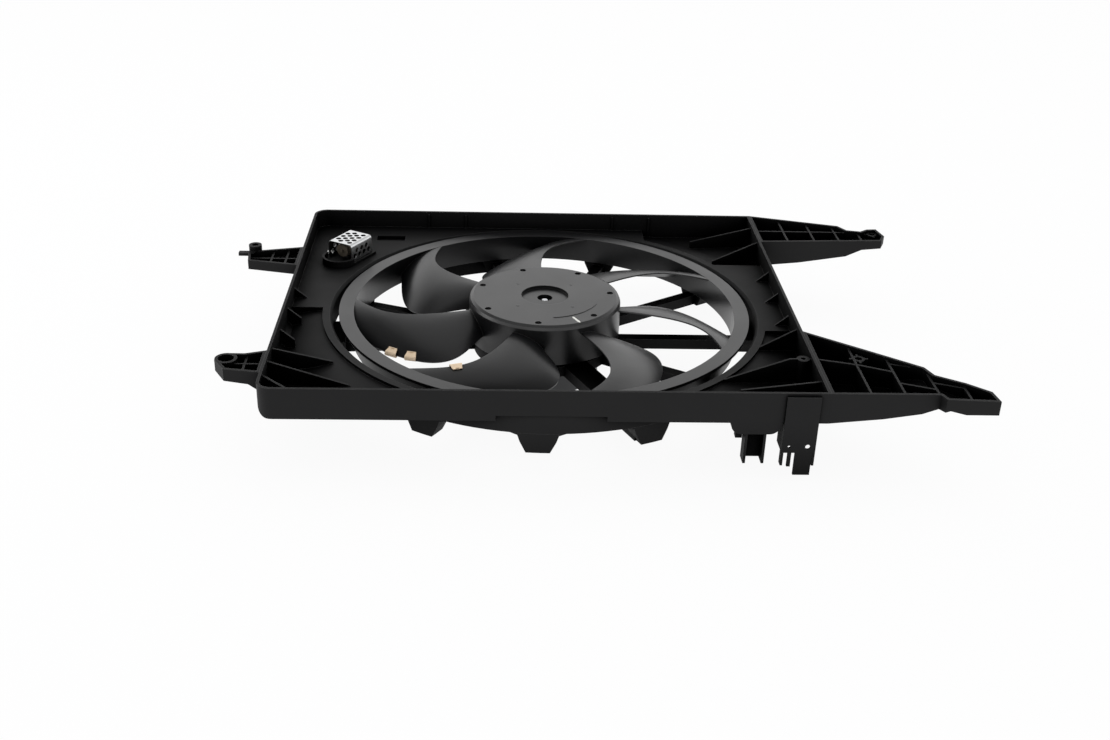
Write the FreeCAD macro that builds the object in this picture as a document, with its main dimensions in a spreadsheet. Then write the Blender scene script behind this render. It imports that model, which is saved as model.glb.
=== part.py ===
"""Radiator fan shroud: ribbed tray, four bracket arms, motor carrier, electric motor, fan and speed resistor.

Frame: the origin is on the fan axis, in the plane of the fan ring's top face. +Z points at the radiator, +X along
the tray's long side, +Y away from the long wall that carries the cable clip. All sizes are millimetres.
"""

import FreeCAD, Part
import Sketcher
import math
import os
import re

V = FreeCAD.Vector
Z_AXIS = V(0, 0, 1)
PAST = "5"  # how far a cutting tool runs past the face that it cuts
NEAR_ZERO = 1e-6  # a length below this counts as nothing

# Every driving size: name, value and what it measures. Heights count from the fan ring's top face.
SIZES = {
    "left_room": (40.0, "distance from the collar to the outer face of the left wall"),
    "right_room": (29.0, "distance from the collar to the outer face of the right wall"),
    "near_room": (4.0, "distance from the collar to the outer face of the near wall"),
    "back_room": (8.0, "distance from the collar to the outer face of the far wall"),
    "tray_corner": (13.0, "outer radius of the two left corners"),
    "low_round": (9.0, "radius on the lower edge of the left wall"),
    "rim_top": (16.0, "height of the rim that faces the radiator"),
    "tray_under": (-11.5, "underside of the low floors"),
    "skin": (2.4, "wall thickness of the mouldings"),
    "shelf_top": (-1.5, "top of the raised floor round the fan"),
    "shelf_width": (34.0, "width of the raised floor behind the collar"),
    "shelf_stop": (110.0, "where the round floor ends on the right"),
    "shelf_right_from": (-46.0, "near end of the raised floor beside the right wall"),
    "shelf_right_to": (108.0, "far end of the raised floor beside the right wall"),
    "shelf_left_from": (-6.0, "near end of the raised floor in the far left corner"),
    "sump_in": (38.0, "distance of the deep pocket in the near wall from the right wall"),
    "sump_long": (41.0, "length of that pocket"),
    "slope_reach": (40.0, "outer end of the sloping floor, from the collar"),
    "sump_under": (-22.0, "underside of that pocket"),
    "sump_width": (34.0, "how far the pocket reaches in from the near wall"),
    "rib": (1.8, "thickness of the stiffening ribs"),
    "rib_drop": (3.0, "how far the rib tops stay below the rim"),
    "left_a_wall": (79.3, "first near left rib: end on the wall, from the near wall"),
    "left_a_x": (51.4, "first near left rib: length along X"),
    "left_a_y": (89.4, "first near left rib: inner end, from the near wall"),
    "left_b_wall": (55.4, "second near left rib: end on the wall, from the near wall"),
    "left_b_x": (70.4, "second near left rib: length along X"),
    "left_b_y": (50.0, "second near left rib: inner end, from the near wall"),
    "corner_reach": (31.0, "ends of the rib across the near left corner"),
    "right_a_wall": (130.0, "first near right rib: end on the wall, from the near wall"),
    "right_a_x": (36.5, "first near right rib: length along X"),
    "right_a_y": (120.0, "first near right rib: inner end, from the near wall"),
    "right_b_wall": (68.6, "second near right rib: end on the wall, from the near wall"),
    "right_b_bend_x": (20.0, "second near right rib: place of its bend along X, from the wall"),
    "right_b_x": (77.3, "second near right rib: length along X"),
    "right_b_y": (57.4, "second near right rib: inner end, from the near wall"),
    "right_c_wall": (27.5, "third near right rib: end on the wall, from the near wall"),
    "right_c_x": (71.6, "third near right rib: length along X"),
    "right_c_y": (11.1, "third near right rib: inner end, from the near wall"),
    "back_a_wall": (26.9, "first far rib: end on the wall, from the far wall"),
    "back_a_x": (66.4, "first far rib: length along X"),
    "back_a_y": (32.5, "first far rib: inner end, from the far wall"),
    "back_b_wall": (66.3, "second far rib: end on the wall, from the far wall"),
    "back_b_x": (50.0, "second far rib: length along X"),
    "back_b_y": (84.8, "second far rib: inner end, from the far wall"),
    "far_rib_a": (117.0, "outer thin ribs on the far wall: distance from the fan axis"),
    "far_rib_b": (78.0, "inner thin ribs on the far wall: distance from the fan axis"),
    "far_rib_deep": (1.2, "depth of those thin ribs"),
    "post_x": (9.0, "boss in the near right corner: distance from the right wall"),
    "post_y": (69.0, "boss in the near right corner: distance from the near wall"),
    "post_bore": (2.2, "radius of that boss's blind hole"),
    "recess_left": (64.0, "recess behind the resistor: left side, from the left wall"),
    "recess_long": (34.0, "length of that recess"),
    "recess_near": (44.0, "near side of that recess, from the far wall"),
    "recess_wide": (18.0, "width of that recess"),
    "recess_deep": (6.4, "height of the block that holds that recess"),
    "gusset_reach": (12.0, "foot of a wall gusset"),
    "gusset_tall": (12.0, "height of a wall gusset above the raised floor"),
    "gusset_right_pitch": (51.0, "distance between the gussets on the right wall"),
    "gusset_left_pitch": (45.0, "distance between the gussets on the left wall"),
    "gusset_right": (-34.0, "place of the first gusset on the right wall"),
    "gusset_left": (-75.0, "place of the first gusset on the left wall"),
    "fan_gap": (6.0, "air gap between fan ring and collar"),
    "lip_width": (9.0, "width of the collar's top lip"),
    "lip_bell": (2.5, "bevel on the collar's mouth"),
    "lip_tall": (3.0, "height of the lip above the sloping floor"),
    "collar_wall": (2.8, "wall of the collar above its step"),
    "collar_foot": (4.6, "wall of the collar's foot"),
    "collar_bottom": (-23.0, "lower edge of the collar"),
    "ring_radius": (190.0, "outer radius of the fan ring's flange"),
    "flange_width": (13.5, "width of the fan ring's flange"),
    "ring_wall": (2.5, "wall of the fan ring's tube"),
    "ring_flange": (3.0, "thickness of the fan ring's flange"),
    "ring_depth": (25.0, "height of the fan ring"),
    "hub_radius": (70.5, "outer radius of the hub"),
    "hub_top": (11.0, "height of the hub's front disc"),
    "hub_clear": (0.8, "running gap between the hub and the heads of the motor's screws"),
    "hub_skin": (3.0, "wall of the hub"),
    "hub_bevel": (1.2, "flat of the rounded front edge of the hub"),
    "hub_round": (4.0, "reach of that rounded edge"),
    "dish_radius": (22.0, "radius of the dish round the shaft"),
    "dish_floor": (8.2, "floor of that dish"),
    "well_room": (0.7, "gap round the ring on the shaft, in its well"),
    "well_floor": (3.6, "floor of that well"),
    "boss_radius": (13.0, "radius of the hub's inner boss"),
    "boss_clear": (2.0, "gap between the hub's inner boss and the motor's end cap"),
    "seat_fit": (0.03, "radial clearance of what is pressed on the shaft"),
    "spider_tall": (6.0, "height of the ribs under the hub's disc"),
    "notch_place": (61.5, "radius on which the balancing notches lie"),
    "notch_radius": (3.0, "radius of a balancing notch"),
    "notch_depth": (1.3, "depth of a balancing notch"),
    "notch_turn": (5.7, "angle of the first balancing notch"),
    "hub_rib_turn": (25.7, "angle of the first rib under the hub's disc"),
    "blade_count": (7.0, "number of blades"),
    "blade_root": (10.5, "how deep a blade's root station lies inside the hub"),
    "blade_neck": (17.5, "second blade station, from the hub"),
    "blade_waist": (61.5, "third blade station, from the fan ring"),
    "blade_shoulder": (31.5, "fourth blade station, from the fan ring"),
    "blade_sink": (4.0, "how far a blade's tip station lies inside the fan ring"),
    "blade_thick": (2.4, "thickness of a blade at mid chord"),
    "blade_edge": (1.3, "thickness of a blade at its edges"),
    "blade_camber": (3.6, "rise of a blade's mean line above its chord"),
    "can_room": (5.0, "gap between motor can and motor ring"),
    "carrier_width": (9.0, "width of the motor ring"),
    "carrier_top": (-31.0, "top of the motor ring and the spokes"),
    "carrier_bottom": (-41.0, "bottom of the motor ring and the spokes"),
    "spoke_width": (11.0, "width of a spoke"),
    "plate_width": (24.0, "width of the spoke that carries the motor's cable"),
    "guard_low": (-47.0, "lower edge of the guard under the collar, beside the resistor"),
    "guard_from": (104.0, "direction in which that guard starts"),
    "guard_span": (23.0, "arc of that guard, in degrees"),
    "leg_top_width": (30.0, "width of a leg at the collar"),
    "leg_foot_width": (20.0, "width of a leg at its foot"),
    "leg_depth": (16.0, "radial depth of a leg"),
    "can_radius": (52.0, "outer radius of the motor can"),
    "can_wall": (1.8, "wall of the motor can"),
    "can_top": (-12.0, "open end of the motor can"),
    "rear_room": (7.2, "room between the winding and the can's closed end"),
    "cap_thick": (3.0, "thickness of the motor's end cap"),
    "cap_lip": (4.0, "how far the end cap reaches into the can"),
    "ear_radius": (5.4, "radius of an ear round its screw"),
    "ear_thick": (1.8, "thickness of an ear"),
    "ear_count": (3.0, "number of ears and screws"),
    "ear_turn": (20.0, "angle of the first ear"),
    "screw_radius": (2.4, "shank radius of a motor screw"),
    "screw_fit": (0.1, "radial clearance of a screw in its hole"),
    "screw_head": (4.4, "head radius of a motor screw"),
    "screw_head_tall": (1.6, "height of a motor screw's head"),
    "screw_tip": (2.0, "how far a motor screw stands out of the ring"),
    "magnet_thick": (6.0, "thickness of a field magnet"),
    "magnet_span": (74.0, "arc that one field magnet covers, in degrees"),
    "magnet_count": (4.0, "number of field magnets"),
    "magnet_over": (2.0, "how far the magnets overlap the core at each end"),
    "glue_gap": (0.1, "gap that the magnets' glue fills"),
    "rotor_gap": (0.8, "gap between magnets and armature"),
    "wire_gap": (2.0, "gap between commutator and winding"),
    "stack_long": (20.0, "length of the armature core"),
    "slot_count": (12.0, "slots of the armature core"),
    "slot_width": (8.0, "width of a slot"),
    "slot_floor": (24.0, "radius of a slot's floor"),
    "slot_fit": (0.2, "clearance between winding and core"),
    "coil_rise": (5.0, "how far the winding stands out of the core"),
    "coil_inside": (15.0, "inner radius of the winding's ends"),
    "commutator_radius": (13.0, "radius of the commutator"),
    "commutator_long": (7.0, "length of the commutator"),
    "card_thick": (2.0, "thickness of the brush card"),
    "brush_count": (4.0, "number of brushes"),
    "brush_width": (6.0, "width of a brush"),
    "brush_tall": (4.5, "height of a brush"),
    "brush_long": (11.0, "length of a brush"),
    "brush_gap": (0.3, "gap between brush and commutator"),
    "shaft_radius": (4.0, "radius of the motor shaft"),
    "shaft_out": (1.5, "how far the shaft's full section stands out of its ring"),
    "shaft_end": (2.6, "radius of the shaft's front end"),
    "run_fit": (0.05, "radial clearance of the shaft in its bushes"),
    "bush_radius": (8.5, "outer radius of a shaft bush"),
    "bush_long": (6.0, "length of a shaft bush"),
    "bush_seat": (2.5, "wall of the seat round a shaft bush"),
    "ring_clip_radius": (6.4, "outer radius of the ring that holds the fan on the shaft"),
    "ring_clip_thick": (1.2, "thickness of that ring"),
    "leg_flare": (8.0, "bevel between a leg and the collar"),
    "cap_shoulder": (1.5, "shoulder above the front bush"),
    "cap_room": (1.5, "gap round the shaft in the end cap"),
    "cap_fit": (0.1, "radial clearance of the end cap's lip in the can"),
    "cap_lip_wall": (2.5, "wall of the end cap's lip"),
    "card_room": (2.0, "gap between commutator and brush card"),
    "coil_in": (3.3, "how far the winding's ends stay inside the core's rim"),
    "shaft_end_gap": (0.7, "gap under the shaft's rear end"),
    "cage_out": (29.4, "distance from the collar to the middle of the resistor's cage"),
    "cage_side": (31.6, "direction of the cage from the fan axis, above the left side"),
    "cage_turn": (60.0, "direction of the cage's long side"),
    "cage_long": (34.0, "length of the cage"),
    "cage_wide": (28.0, "width of the cage"),
    "cage_top": (18.6, "top of the cage"),
    "cage_sheet": (0.9, "thickness of the cage's sheet"),
    "cage_round": (3.0, "fold radius of the cage"),
    "cage_hole": (2.5, "reach of a hole in the cage, over its corners"),
    "cage_row": (5.5, "distance between the rows of holes"),
    "cage_pitch": (6.4, "distance between the holes"),
    "base_thick": (2.5, "thickness of the resistor's base"),
    "base_edge": (3.0, "how far the base stands out beyond the cage"),
    "base_nose": (17.0, "radius of the base's rounded nose"),
    "base_nose_tall": (7.0, "height of that nose"),
    "base_nose_wall": (2.0, "wall of that nose"),
    "core_lead": (1.5, "radius and reach of the core's end caps"),
    "core_radius": (6.6, "radius of the resistor's ceramic core"),
    "core_long": (27.0, "length of that core"),
    "core_lift": (11.0, "height of the core's axis"),
    "strap_thick": (1.0, "thickness of a resistor terminal"),
    "strap_wide": (9.0, "width of a resistor terminal"),
    "strap_place": (10.0, "distance of a terminal from the cage's middle"),
    "tap_radius": (1.8, "shank radius of the resistor's screws"),
    "tap_head": (3.4, "head radius of those screws"),
    "tap_head_tall": (1.8, "height of their heads"),
    "tap_long": (7.0, "length of their shanks"),
    "tap_ear": (4.6, "radius of an ear on the resistor's base"),
    "tap_gap": (1.0, "gap between the cage and an ear on the base"),
    "bracket_in": (8.0, "distance of the connector bracket from the right wall"),
    "bracket_wide": (28.0, "width of the connector bracket"),
    "bracket_out": (2.2, "how far the bracket's plate stands out of the wall"),
    "bracket_top": (13.5, "top of the bracket's plate"),
    "bracket_low": (-38.0, "lower edge of the bracket's box"),
    "bracket_deep": (20.0, "depth of the bracket's box"),
    "bracket_wall": (2.0, "wall of the bracket"),
    "eye_left": (6.0, "place of the small round hole in the bracket, from its left side"),
    "eye_right": (21.5, "place of the large round hole in the bracket, from its left side"),
    "eye_height": (-32.5, "height of those holes"),
    "eye_small": (1.3, "radius of the small hole"),
    "eye_large": (2.3, "radius of the large hole"),
    "prong_wide": (3.0, "width of a prong under the bracket"),
    "prong_step": (1.0, "how far the prongs differ in length and place"),
    "prong_low": (-50.0, "lower end of the prongs"),
    "tongue_in": (11.5, "left side of the bracket's tongue, from the bracket's left side"),
    "tongue_width": (14.0, "width of that tongue"),
    "tongue_low": (-59.0, "lower end of the bracket's tongue"),
    "hook_in": (12.5, "left side of the cable clip, from the deep pocket's left end"),
    "hook_wide": (17.5, "width of the cable clip"),
    "hook_set": (1.0, "how far the cable clip stays behind the near wall's face"),
    "hook_tip": (1.0, "how far the clip's sides reach below its web"),
    "hook_low": (-49.0, "lower end of the cable clip"),
    "hook_wall": (2.2, "wall of the cable clip"),
    "hook_deep": (13.0, "depth of the cable clip"),
    "peg_in": (5.5, "left side of the peg beside the cable clip, from the pocket's left end"),
    "peg_wide": (5.5, "width of that peg"),
    "peg_low": (-29.0, "lower end of that peg"),
    "arm_rib_drop": (2.5, "how far the ribs in the arms stay below the rim"),
    "arm_boss": (5.4, "outer radius of the small arm bosses"),
    "arm_bore": (3.2, "radius of the bolt holes in the arms"),
    "left_back_bolt_x": (-45.0, "bolt hole of the far left arm, from the left wall"),
    "left_back_bolt_y": (-114.0, "bolt hole of the far left arm, from the far wall"),
    "left_back_boss": (6.2, "radius of that arm's boss"),
    "left_back_rise": (5.0, "how far that boss stands above the rim"),
    "left_back_tongue": (15.0, "length of that arm's tongue"),
    "tongue_from": (4.0, "distance of that tongue from the middle of the boss"),
    "tongue_thick": (3.0, "thickness of that tongue"),
    "tongue_wide": (6.0, "width of that tongue"),
    "left_near_bolt_x": (-31.0, "cup of the near left arm, from the left wall"),
    "left_near_bolt_y": (53.0, "cup of the near left arm, from the near wall"),
    "cup_radius": (9.2, "outer radius of that cup"),
    "cup_bore": (6.7, "inner radius of that cup"),
    "cup_floor": (3.0, "thickness of that cup's floor"),
    "right_back_bolt_x": (123.0, "bolt hole of the far right arm, from the right wall"),
    "right_back_bolt_y": (-42.5, "bolt hole of the far right arm, from the far wall"),
    "right_near_bolt_x": (38.5, "bolt hole of the near right arm, from the right wall"),
    "right_near_bolt_y": (69.0, "bolt hole of the near right arm, from the near wall"),
    "star_reach": (8.0, "length of the webs round a bolt boss"),
    "sump_round": (9.0, "radius on the lower corners of the deep pocket"),
    "weight_wide": (10.5, "length of a balance clip along the blade's edge"),
    "weight_deep": (7.5, "how far a balance clip reaches onto the blade"),
    "weight_over": (1.0, "thickness of a balance clip round the blade's edge"),
    "weight_thick": (4.6, "thickness of a balance clip across the blade"),
    "weight_a": (22.0, "first balance clip: distance from the fan ring"),
    "weight_b": (34.5, "second balance clip: distance from the fan ring"),
    "weight_c": (27.5, "third balance clip: distance from the fan ring"),
}

# Corner points of the four bracket arms seen from above, from the root outwards and back. X counts from the wall that
# carries the arm, Y from the far or the near wall; the first and last pairs are the two sides of the root.
ARM_PLANS = {
    "left_back": ((0, -106), (-39, -116), (-51, -120), (-48, -142), (0, -152)),
    "left_near": ((0, 68), (-17, 62), (-32, 62), (-40, 50), (-30, 33), (0, 28)),
    "right_back": (
        (0, 0), (90, -26), (97, -38), (111, -41), (119, -35), (129, -34), (133, -54), (127, -67), (0, -74)
    ),
    "right_near": (
        (0, 117), (50, 79), (89, 49), (94, 35), (116, 21), (133, 6), (135, -11), (92, -8), (89, 0), (0, 0)
    ),
}
# The arms' undersides seen from the side: distance from the wall, and height.
ARM_SIDES = {
    "left_back": ((0, 6), (-60, 7)),
    "left_near": ((0, -2), (-10, 4), (-44, 6)),
    "right_back": ((0, -10.5), (42, -7.5), (91, -1), (107, 6), (135, 8)),
    "right_near": ((0, -11.5), (45, -7), (76, -2), (96, 5.5), (109, 2.5), (137, 3.5)),
}
# Stiffening plates across each arm: distances from the wall.
ARM_PLATES = {
    "left_back": (-13, -27),
    "left_near": (-15,),
    "right_back": (30, 58, 84, 108),
    "right_near": (34, 62, 90, 114),
}
# Lengthwise ribs of the arms: start and end, from the same walls.
ARM_RIBS = {
    "left_back": ((0, -130, -50, -130),),
    "left_near": ((0, 48, -26, 48),),
    "right_back": ((0, -38, 115, -38),),
    "right_near": ((0, 68, 36, 57), (36, 57, 62, 45), (62, 60, 90, 51), (62, 25, 90, 14), (90, 26, 114, 17)),
}
for arm_name, corners in ARM_PLANS.items():
    for number, (x, y) in enumerate(corners[1:-1], start=1):
        SIZES["%s_x%d" % (arm_name, number)] = (float(x), "%s arm: corner %d along X" % (arm_name, number))
        SIZES["%s_y%d" % (arm_name, number)] = (float(y), "%s arm: corner %d along Y" % (arm_name, number))
    SIZES[arm_name + "_root_a"] = (float(corners[0][1]), "%s arm: first side of its root" % arm_name)
    SIZES[arm_name + "_root_b"] = (float(corners[-1][1]), "%s arm: second side of its root" % arm_name)
    SIZES[arm_name + "_low_z0"] = (float(ARM_SIDES[arm_name][0][1]), "%s arm: height of its root" % arm_name)
    for number, (x, z) in enumerate(ARM_SIDES[arm_name][1:], start=1):
        where = "%s arm: underside point %d" % (arm_name, number)
        SIZES["%s_low_x%d" % (arm_name, number)] = (float(x), where + " along X")
        SIZES["%s_low_z%d" % (arm_name, number)] = (float(z), where + ", its height")
    for number, x in enumerate(ARM_PLATES[arm_name]):
        SIZES["%s_plate_%d" % (arm_name, number)] = (float(x), "%s arm: place of cross plate %d" % (arm_name, number))
    for number, ends in enumerate(ARM_RIBS[arm_name]):
        for word, value in zip(("ax", "ay", "bx", "by"), ends):
            note = "%s arm: end of rib %d" % (arm_name, number)
            SIZES["%s_rib_%s%d" % (arm_name, word, number)] = (float(value), note)

# Where the spokes of the motor carrier leave the axis. The pitch is uneven, which breaks up the fan's tone.
SPOKES = (0, 34, 70, 104, 131, 158, 184, 238, 267, 295, 328)
CABLE_SPOKE = 10  # number of the wide spoke
for number, angle in enumerate(SPOKES, start=1):
    SIZES["spoke_angle_%d" % number] = (float(angle), "direction of spoke %d" % number)

# Blade stations from root to tip: angle and height of the leading and the trailing edge.
STATIONS = (
    (141.0, 2.0, 164.0, -13.0),
    (142.0, 1.5, 170.0, -13.5),
    (141.0, 0.8, 172.0, -17.5),
    (136.5, 0.2, 159.0, -19.8),
    (123.7, -0.9, 143.0, -16.0),
)
for number, station in enumerate(STATIONS, start=1):
    for word, value in zip(("lead", "lead_z", "trail", "trail_z"), station):
        SIZES["blade_%s_%d" % (word, number)] = (value, "blade station %d: %s" % (number, word))

# Lengths that follow from the sizes above.
FOLLOWS = {
    "collar": "(ring_radius + fan_gap)",
    "tray_left": "(-collar - left_room)",
    "tray_right": "(collar + right_room)",
    "tray_near": "(-collar - near_room)",
    "tray_back": "(collar + back_room)",
    "shelf_radius": "(collar + shelf_width)",
    "lip_edge": "(collar + lip_width)",
    "collar_side": "(collar / 2)",
    "lip_foot": "(shelf_top - lip_tall)",
    "rib_top": "(rim_top - rib_drop)",
    "sump_right": "(tray_right - sump_in)",
    "sump_left": "(tray_right - sump_in - sump_long)",
    "ring_inside": "(ring_radius - flange_width)",
    "blade_radius_1": "(hub_radius - blade_root)",
    "blade_radius_2": "(hub_radius + blade_neck)",
    "blade_radius_3": "(ring_inside - blade_waist)",
    "blade_radius_4": "(ring_inside - blade_shoulder)",
    "blade_radius_5": "(ring_inside + blade_sink)",
    "well_radius": "(ring_clip_radius + well_room)",
    "carrier_inside": "(can_radius + can_room)",
    "carrier_outside": "(carrier_inside + carrier_width)",
    "ear_place": "(carrier_inside + carrier_width / 2)",
    "ear_top": "(carrier_top + ear_thick)",
    "hub_bottom": "(ear_top + screw_head_tall + hub_clear)",
    "cap_top": "(can_top + cap_thick)",
    "cap_hole": "(shaft_radius + cap_room)",
    "card_hole": "(commutator_radius + card_room)",
    "leg_edge": "(collar + collar_foot)",
    "slope_edge": "(collar + slope_reach)",
    "boss_bottom": "(cap_top + boss_clear)",
    "card_top": "(can_top - cap_lip)",
    "card_low": "(card_top - card_thick)",
    "core_top": "(card_low - commutator_long - wire_gap - coil_rise)",
    "core_bottom": "(core_top - stack_long)",
    "can_floor": "(core_bottom - coil_rise - rear_room)",
    "can_bottom": "(can_floor - can_wall)",
    "can_inner": "(can_radius - can_wall)",
    "core_rim": "(can_inner - glue_gap - magnet_thick - rotor_gap)",
    "coil_outside": "(core_rim - coil_in)",
    "shaft_shoulder": "(well_floor + ring_clip_thick + shaft_out)",
    "cage_x": "(-(collar + cage_out) * cos(cage_side))",
    "cage_y": "((collar + cage_out) * sin(cage_side))",
    "base_top": "(shelf_top + base_thick)",
    "bracket_right": "(tray_right - bracket_in)",
    "bracket_left": "(bracket_right - bracket_wide)",
    "hook_left": "(sump_left + hook_in)",
    "hook_right": "(hook_left + hook_wide)",
    "peg_left": "(sump_left + peg_in)",
    "peg_right": "(peg_left + peg_wide)",
}

doc = FreeCAD.newDocument("radiator_fan_shroud")
sheet = doc.addObject("Spreadsheet::Sheet", "sizes")
for row, (alias, (value, note)) in enumerate(SIZES.items(), start=1):
    sheet.set("A%d" % row, alias)
    sheet.set("B%d" % row, repr(value))
    sheet.set("C%d" % row, note)
    sheet.setAlias("B%d" % row, alias)
doc.recompute()

WORD = re.compile(r"[a-z][a-z0-9_]*")


def spelled(text):
    """The expression with each length that follows from sizes written out."""
    wider = WORD.sub(lambda m: FOLLOWS.get(m.group(0), m.group(0)), str(text))
    return wider if wider == str(text) else spelled(wider)


def size(text):
    """Value of an expression in the sheet's sizes."""
    return float(sheet.evalExpression(spelled(text)))


def tied(text):
    """The expression with each size named as a cell of the sheet."""
    return WORD.sub(lambda m: "sizes." + m.group(0) if m.group(0) in SIZES else m.group(0), spelled(text))


def bind(thing, **sizes):
    """Tie properties to expressions; a double underscore stands for a dot."""
    for key, text in sizes.items():
        thing.setExpression(key.replace("__", "."), tied(text))
    return thing


def box(name, x, y, z):
    """Block between pairs of coordinates."""
    solid = doc.addObject("Part::Box", name)
    bind(solid, Length="(%s) - (%s)" % (x[1], x[0]), Width="(%s) - (%s)" % (y[1], y[0]))
    bind(solid, Height="(%s) - (%s)" % (z[1], z[0]))
    return bind(solid, Placement__Base__x=x[0], Placement__Base__y=y[0], Placement__Base__z=z[0])


def rod(name, radius, z, at=("0", "0")):
    """Upright cylinder between two heights."""
    solid = doc.addObject("Part::Cylinder", name)
    bind(solid, Radius=radius, Height="(%s) - (%s)" % (z[1], z[0]))
    return bind(solid, Placement__Base__x=at[0], Placement__Base__y=at[1], Placement__Base__z=z[0])


def fuse(name, *parts):
    """One solid out of several."""
    joined = doc.addObject("Part::MultiFuse", name)
    joined.Shapes = list(parts)
    joined.Refine = True
    return joined


def cut(name, base, *tools):
    """What is left of base."""
    tool = tools[0] if len(tools) == 1 else fuse(name + "_tool", *tools)
    rest = doc.addObject("Part::Cut", name)
    rest.Base, rest.Tool = base, tool
    rest.Refine = True
    return rest


def common(name, base, tool):
    """What two solids share."""
    shared = doc.addObject("Part::Common", name)
    shared.Base, shared.Tool = base, tool
    shared.Refine = True
    return shared


def rounded(name, base, radius, pick):
    """Fillet on the edges that pick accepts."""
    doc.recompute()
    value = size(radius)
    soft = doc.addObject("Part::Fillet", name)
    soft.Base = base
    soft.Edges = [(i, value, value) for i, edge in enumerate(base.Shape.Edges, start=1) if pick(edge)]
    return soft


def upright(edge):
    """True for an edge that runs straight up."""
    ends = [v.Point for v in edge.Vertexes]
    return len(ends) == 2 and math.hypot(ends[0].x - ends[1].x, ends[0].y - ends[1].y) < NEAR_ZERO


def pin_corners(sketch, corners):
    """Closed outline through corners, each tied to its two expressions."""
    points = [V(size(x), size(y), 0) for x, y in corners]
    first = sketch.GeometryCount
    count = len(points)
    for i in range(count):
        sketch.addGeometry(Part.LineSegment(points[i], points[(i + 1) % count]), False)
    for i in range(count):
        sketch.addConstraint(Sketcher.Constraint("Coincident", first + i, 2, first + (i + 1) % count, 1))
    for i, pair in enumerate(corners):
        for kind, text, value in zip(("DistanceX", "DistanceY"), pair, (points[i].x, points[i].y)):
            at = sketch.addConstraint(Sketcher.Constraint(kind, -1, 1, first + i, 1, value))
            sketch.setExpression("Constraints[%d]" % at, tied(text))


def body_sketch(body, name, role):
    """Empty sketch on one of the body's own planes."""
    plane = next(f for f in body.Origin.OriginFeatures if f.Role == role)
    sketch = body.newObject("Sketcher::SketchObject", name)
    sketch.AttachmentSupport = [(plane, "")]
    sketch.MapMode = "FlatFace"
    return sketch


def turned(name, *loops):
    """Body turned about the Z axis from half-sections of (radius, height) corners."""
    body = doc.addObject("PartDesign::Body", name)
    sketch = body_sketch(body, name + "_section", "XZ_Plane")
    for corners in loops:
        pin_corners(sketch, corners)
    turn = body.newObject("PartDesign::Revolution", name + "_turn")
    turn.Profile = sketch
    turn.ReferenceAxis = (sketch, ["V_Axis"])
    turn.Angle = 360
    body.Tip = turn
    return body


def prism(name, corners, depth, place=None):
    """Straight body over a closed outline; depth is along the outline's normal."""
    sketch = doc.addObject("Sketcher::SketchObject", name + "_outline")
    pin_corners(sketch, corners)
    if place:
        sketch.Placement = place
    solid = doc.addObject("Part::Extrusion", name)
    solid.Base = sketch
    solid.DirMode = "Normal"
    solid.Solid = True
    return bind(solid, LengthFwd=depth)


def rib(name, start, end, base, top, end_top, thick="rib"):
    """Upright rib from start to end on a common base; its top runs from top to end_top."""
    x, y = size(start[0]), size(start[1])
    dx, dy = size(end[0]) - x, size(end[1]) - y
    plate = doc.addObject("Part::Wedge", name)
    for key in ("Xmin", "Ymin", "Zmin", "X2min", "Z2min"):
        setattr(plate, key, 0)
    run = "sqrt(pow((%s) - (%s); 2) + pow((%s) - (%s); 2))" % (end[0], start[0], end[1], start[1])
    bind(plate, Xmax=thick, X2max=thick, Ymax=run)
    bind(plate, Zmax="(%s) - (%s)" % (top, base), Z2max="(%s) - (%s)" % (end_top, base))
    turn = FreeCAD.Rotation(Z_AXIS, math.degrees(math.atan2(dy, dx)) - 90)
    middle = turn.multVec(V(-size(thick) / 2, 0, 0))
    plate.Placement = FreeCAD.Placement(V(x, y, size(base)) + middle, turn)
    return plate


def named(thing, node):
    """Mark a solid as a finished piece."""
    thing.Label = node
    PIECES[node] = thing
    return thing


PIECES = {}
# Places of the resistor's two screws, along and across the cage.
TAPS = (
    ("cage_long / 2 + tap_ear + tap_gap", "0"),
    ("-cage_long / 4", "cage_wide / 2 + tap_ear + tap_gap"),
)


def on_cage(u, v):
    """Point given along and across the resistor's cage, as tray coordinates."""
    x = "cage_x + (%s) * cos(cage_turn) - (%s) * sin(cage_turn)" % (u, v)
    y = "cage_y + (%s) * sin(cage_turn) + (%s) * cos(cage_turn)" % (u, v)
    return x, y


def tap_places():
    """Where the resistor's two screws sit."""
    return [on_cage(u, v) for u, v in TAPS]


def lying_rod(name, radius, x, y, z):
    """Cylinder along Y between two places, its axis at x and z."""
    bar = doc.addObject("Part::Cylinder", name)
    bar.Placement.Rotation = FreeCAD.Rotation(V(1, 0, 0), -90)
    bind(bar, Radius=radius, Height="(%s) - (%s)" % (y[1], y[0]))
    return bind(bar, Placement__Base__x=x, Placement__Base__y=y[0], Placement__Base__z=z)


def make_shelf(name, take_in, bottom, top):
    """Area of the raised floor, taken in on all sides, between two heights."""
    height = (bottom, top)
    disc = rod(name + "_disc", "shelf_radius - %s" % take_in, height)
    field = ("tray_left - " + PAST, "shelf_stop - %s" % take_in)
    far = ("shelf_left_from + %s" % take_in, "tray_back + " + PAST)
    stop = box(name + "_stop", field, far, height)
    round_part = common(name + "_round", disc, stop)
    beside = ("shelf_right_from + %s" % take_in, "shelf_right_to - %s" % take_in)
    right_part = box(name + "_right", ("collar_side", "tray_right + " + PAST), beside, height)
    left_part = box(name + "_left", ("tray_left - " + PAST, "-collar_side"), far, height)
    return fuse(name, round_part, right_part, left_part)


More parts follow.
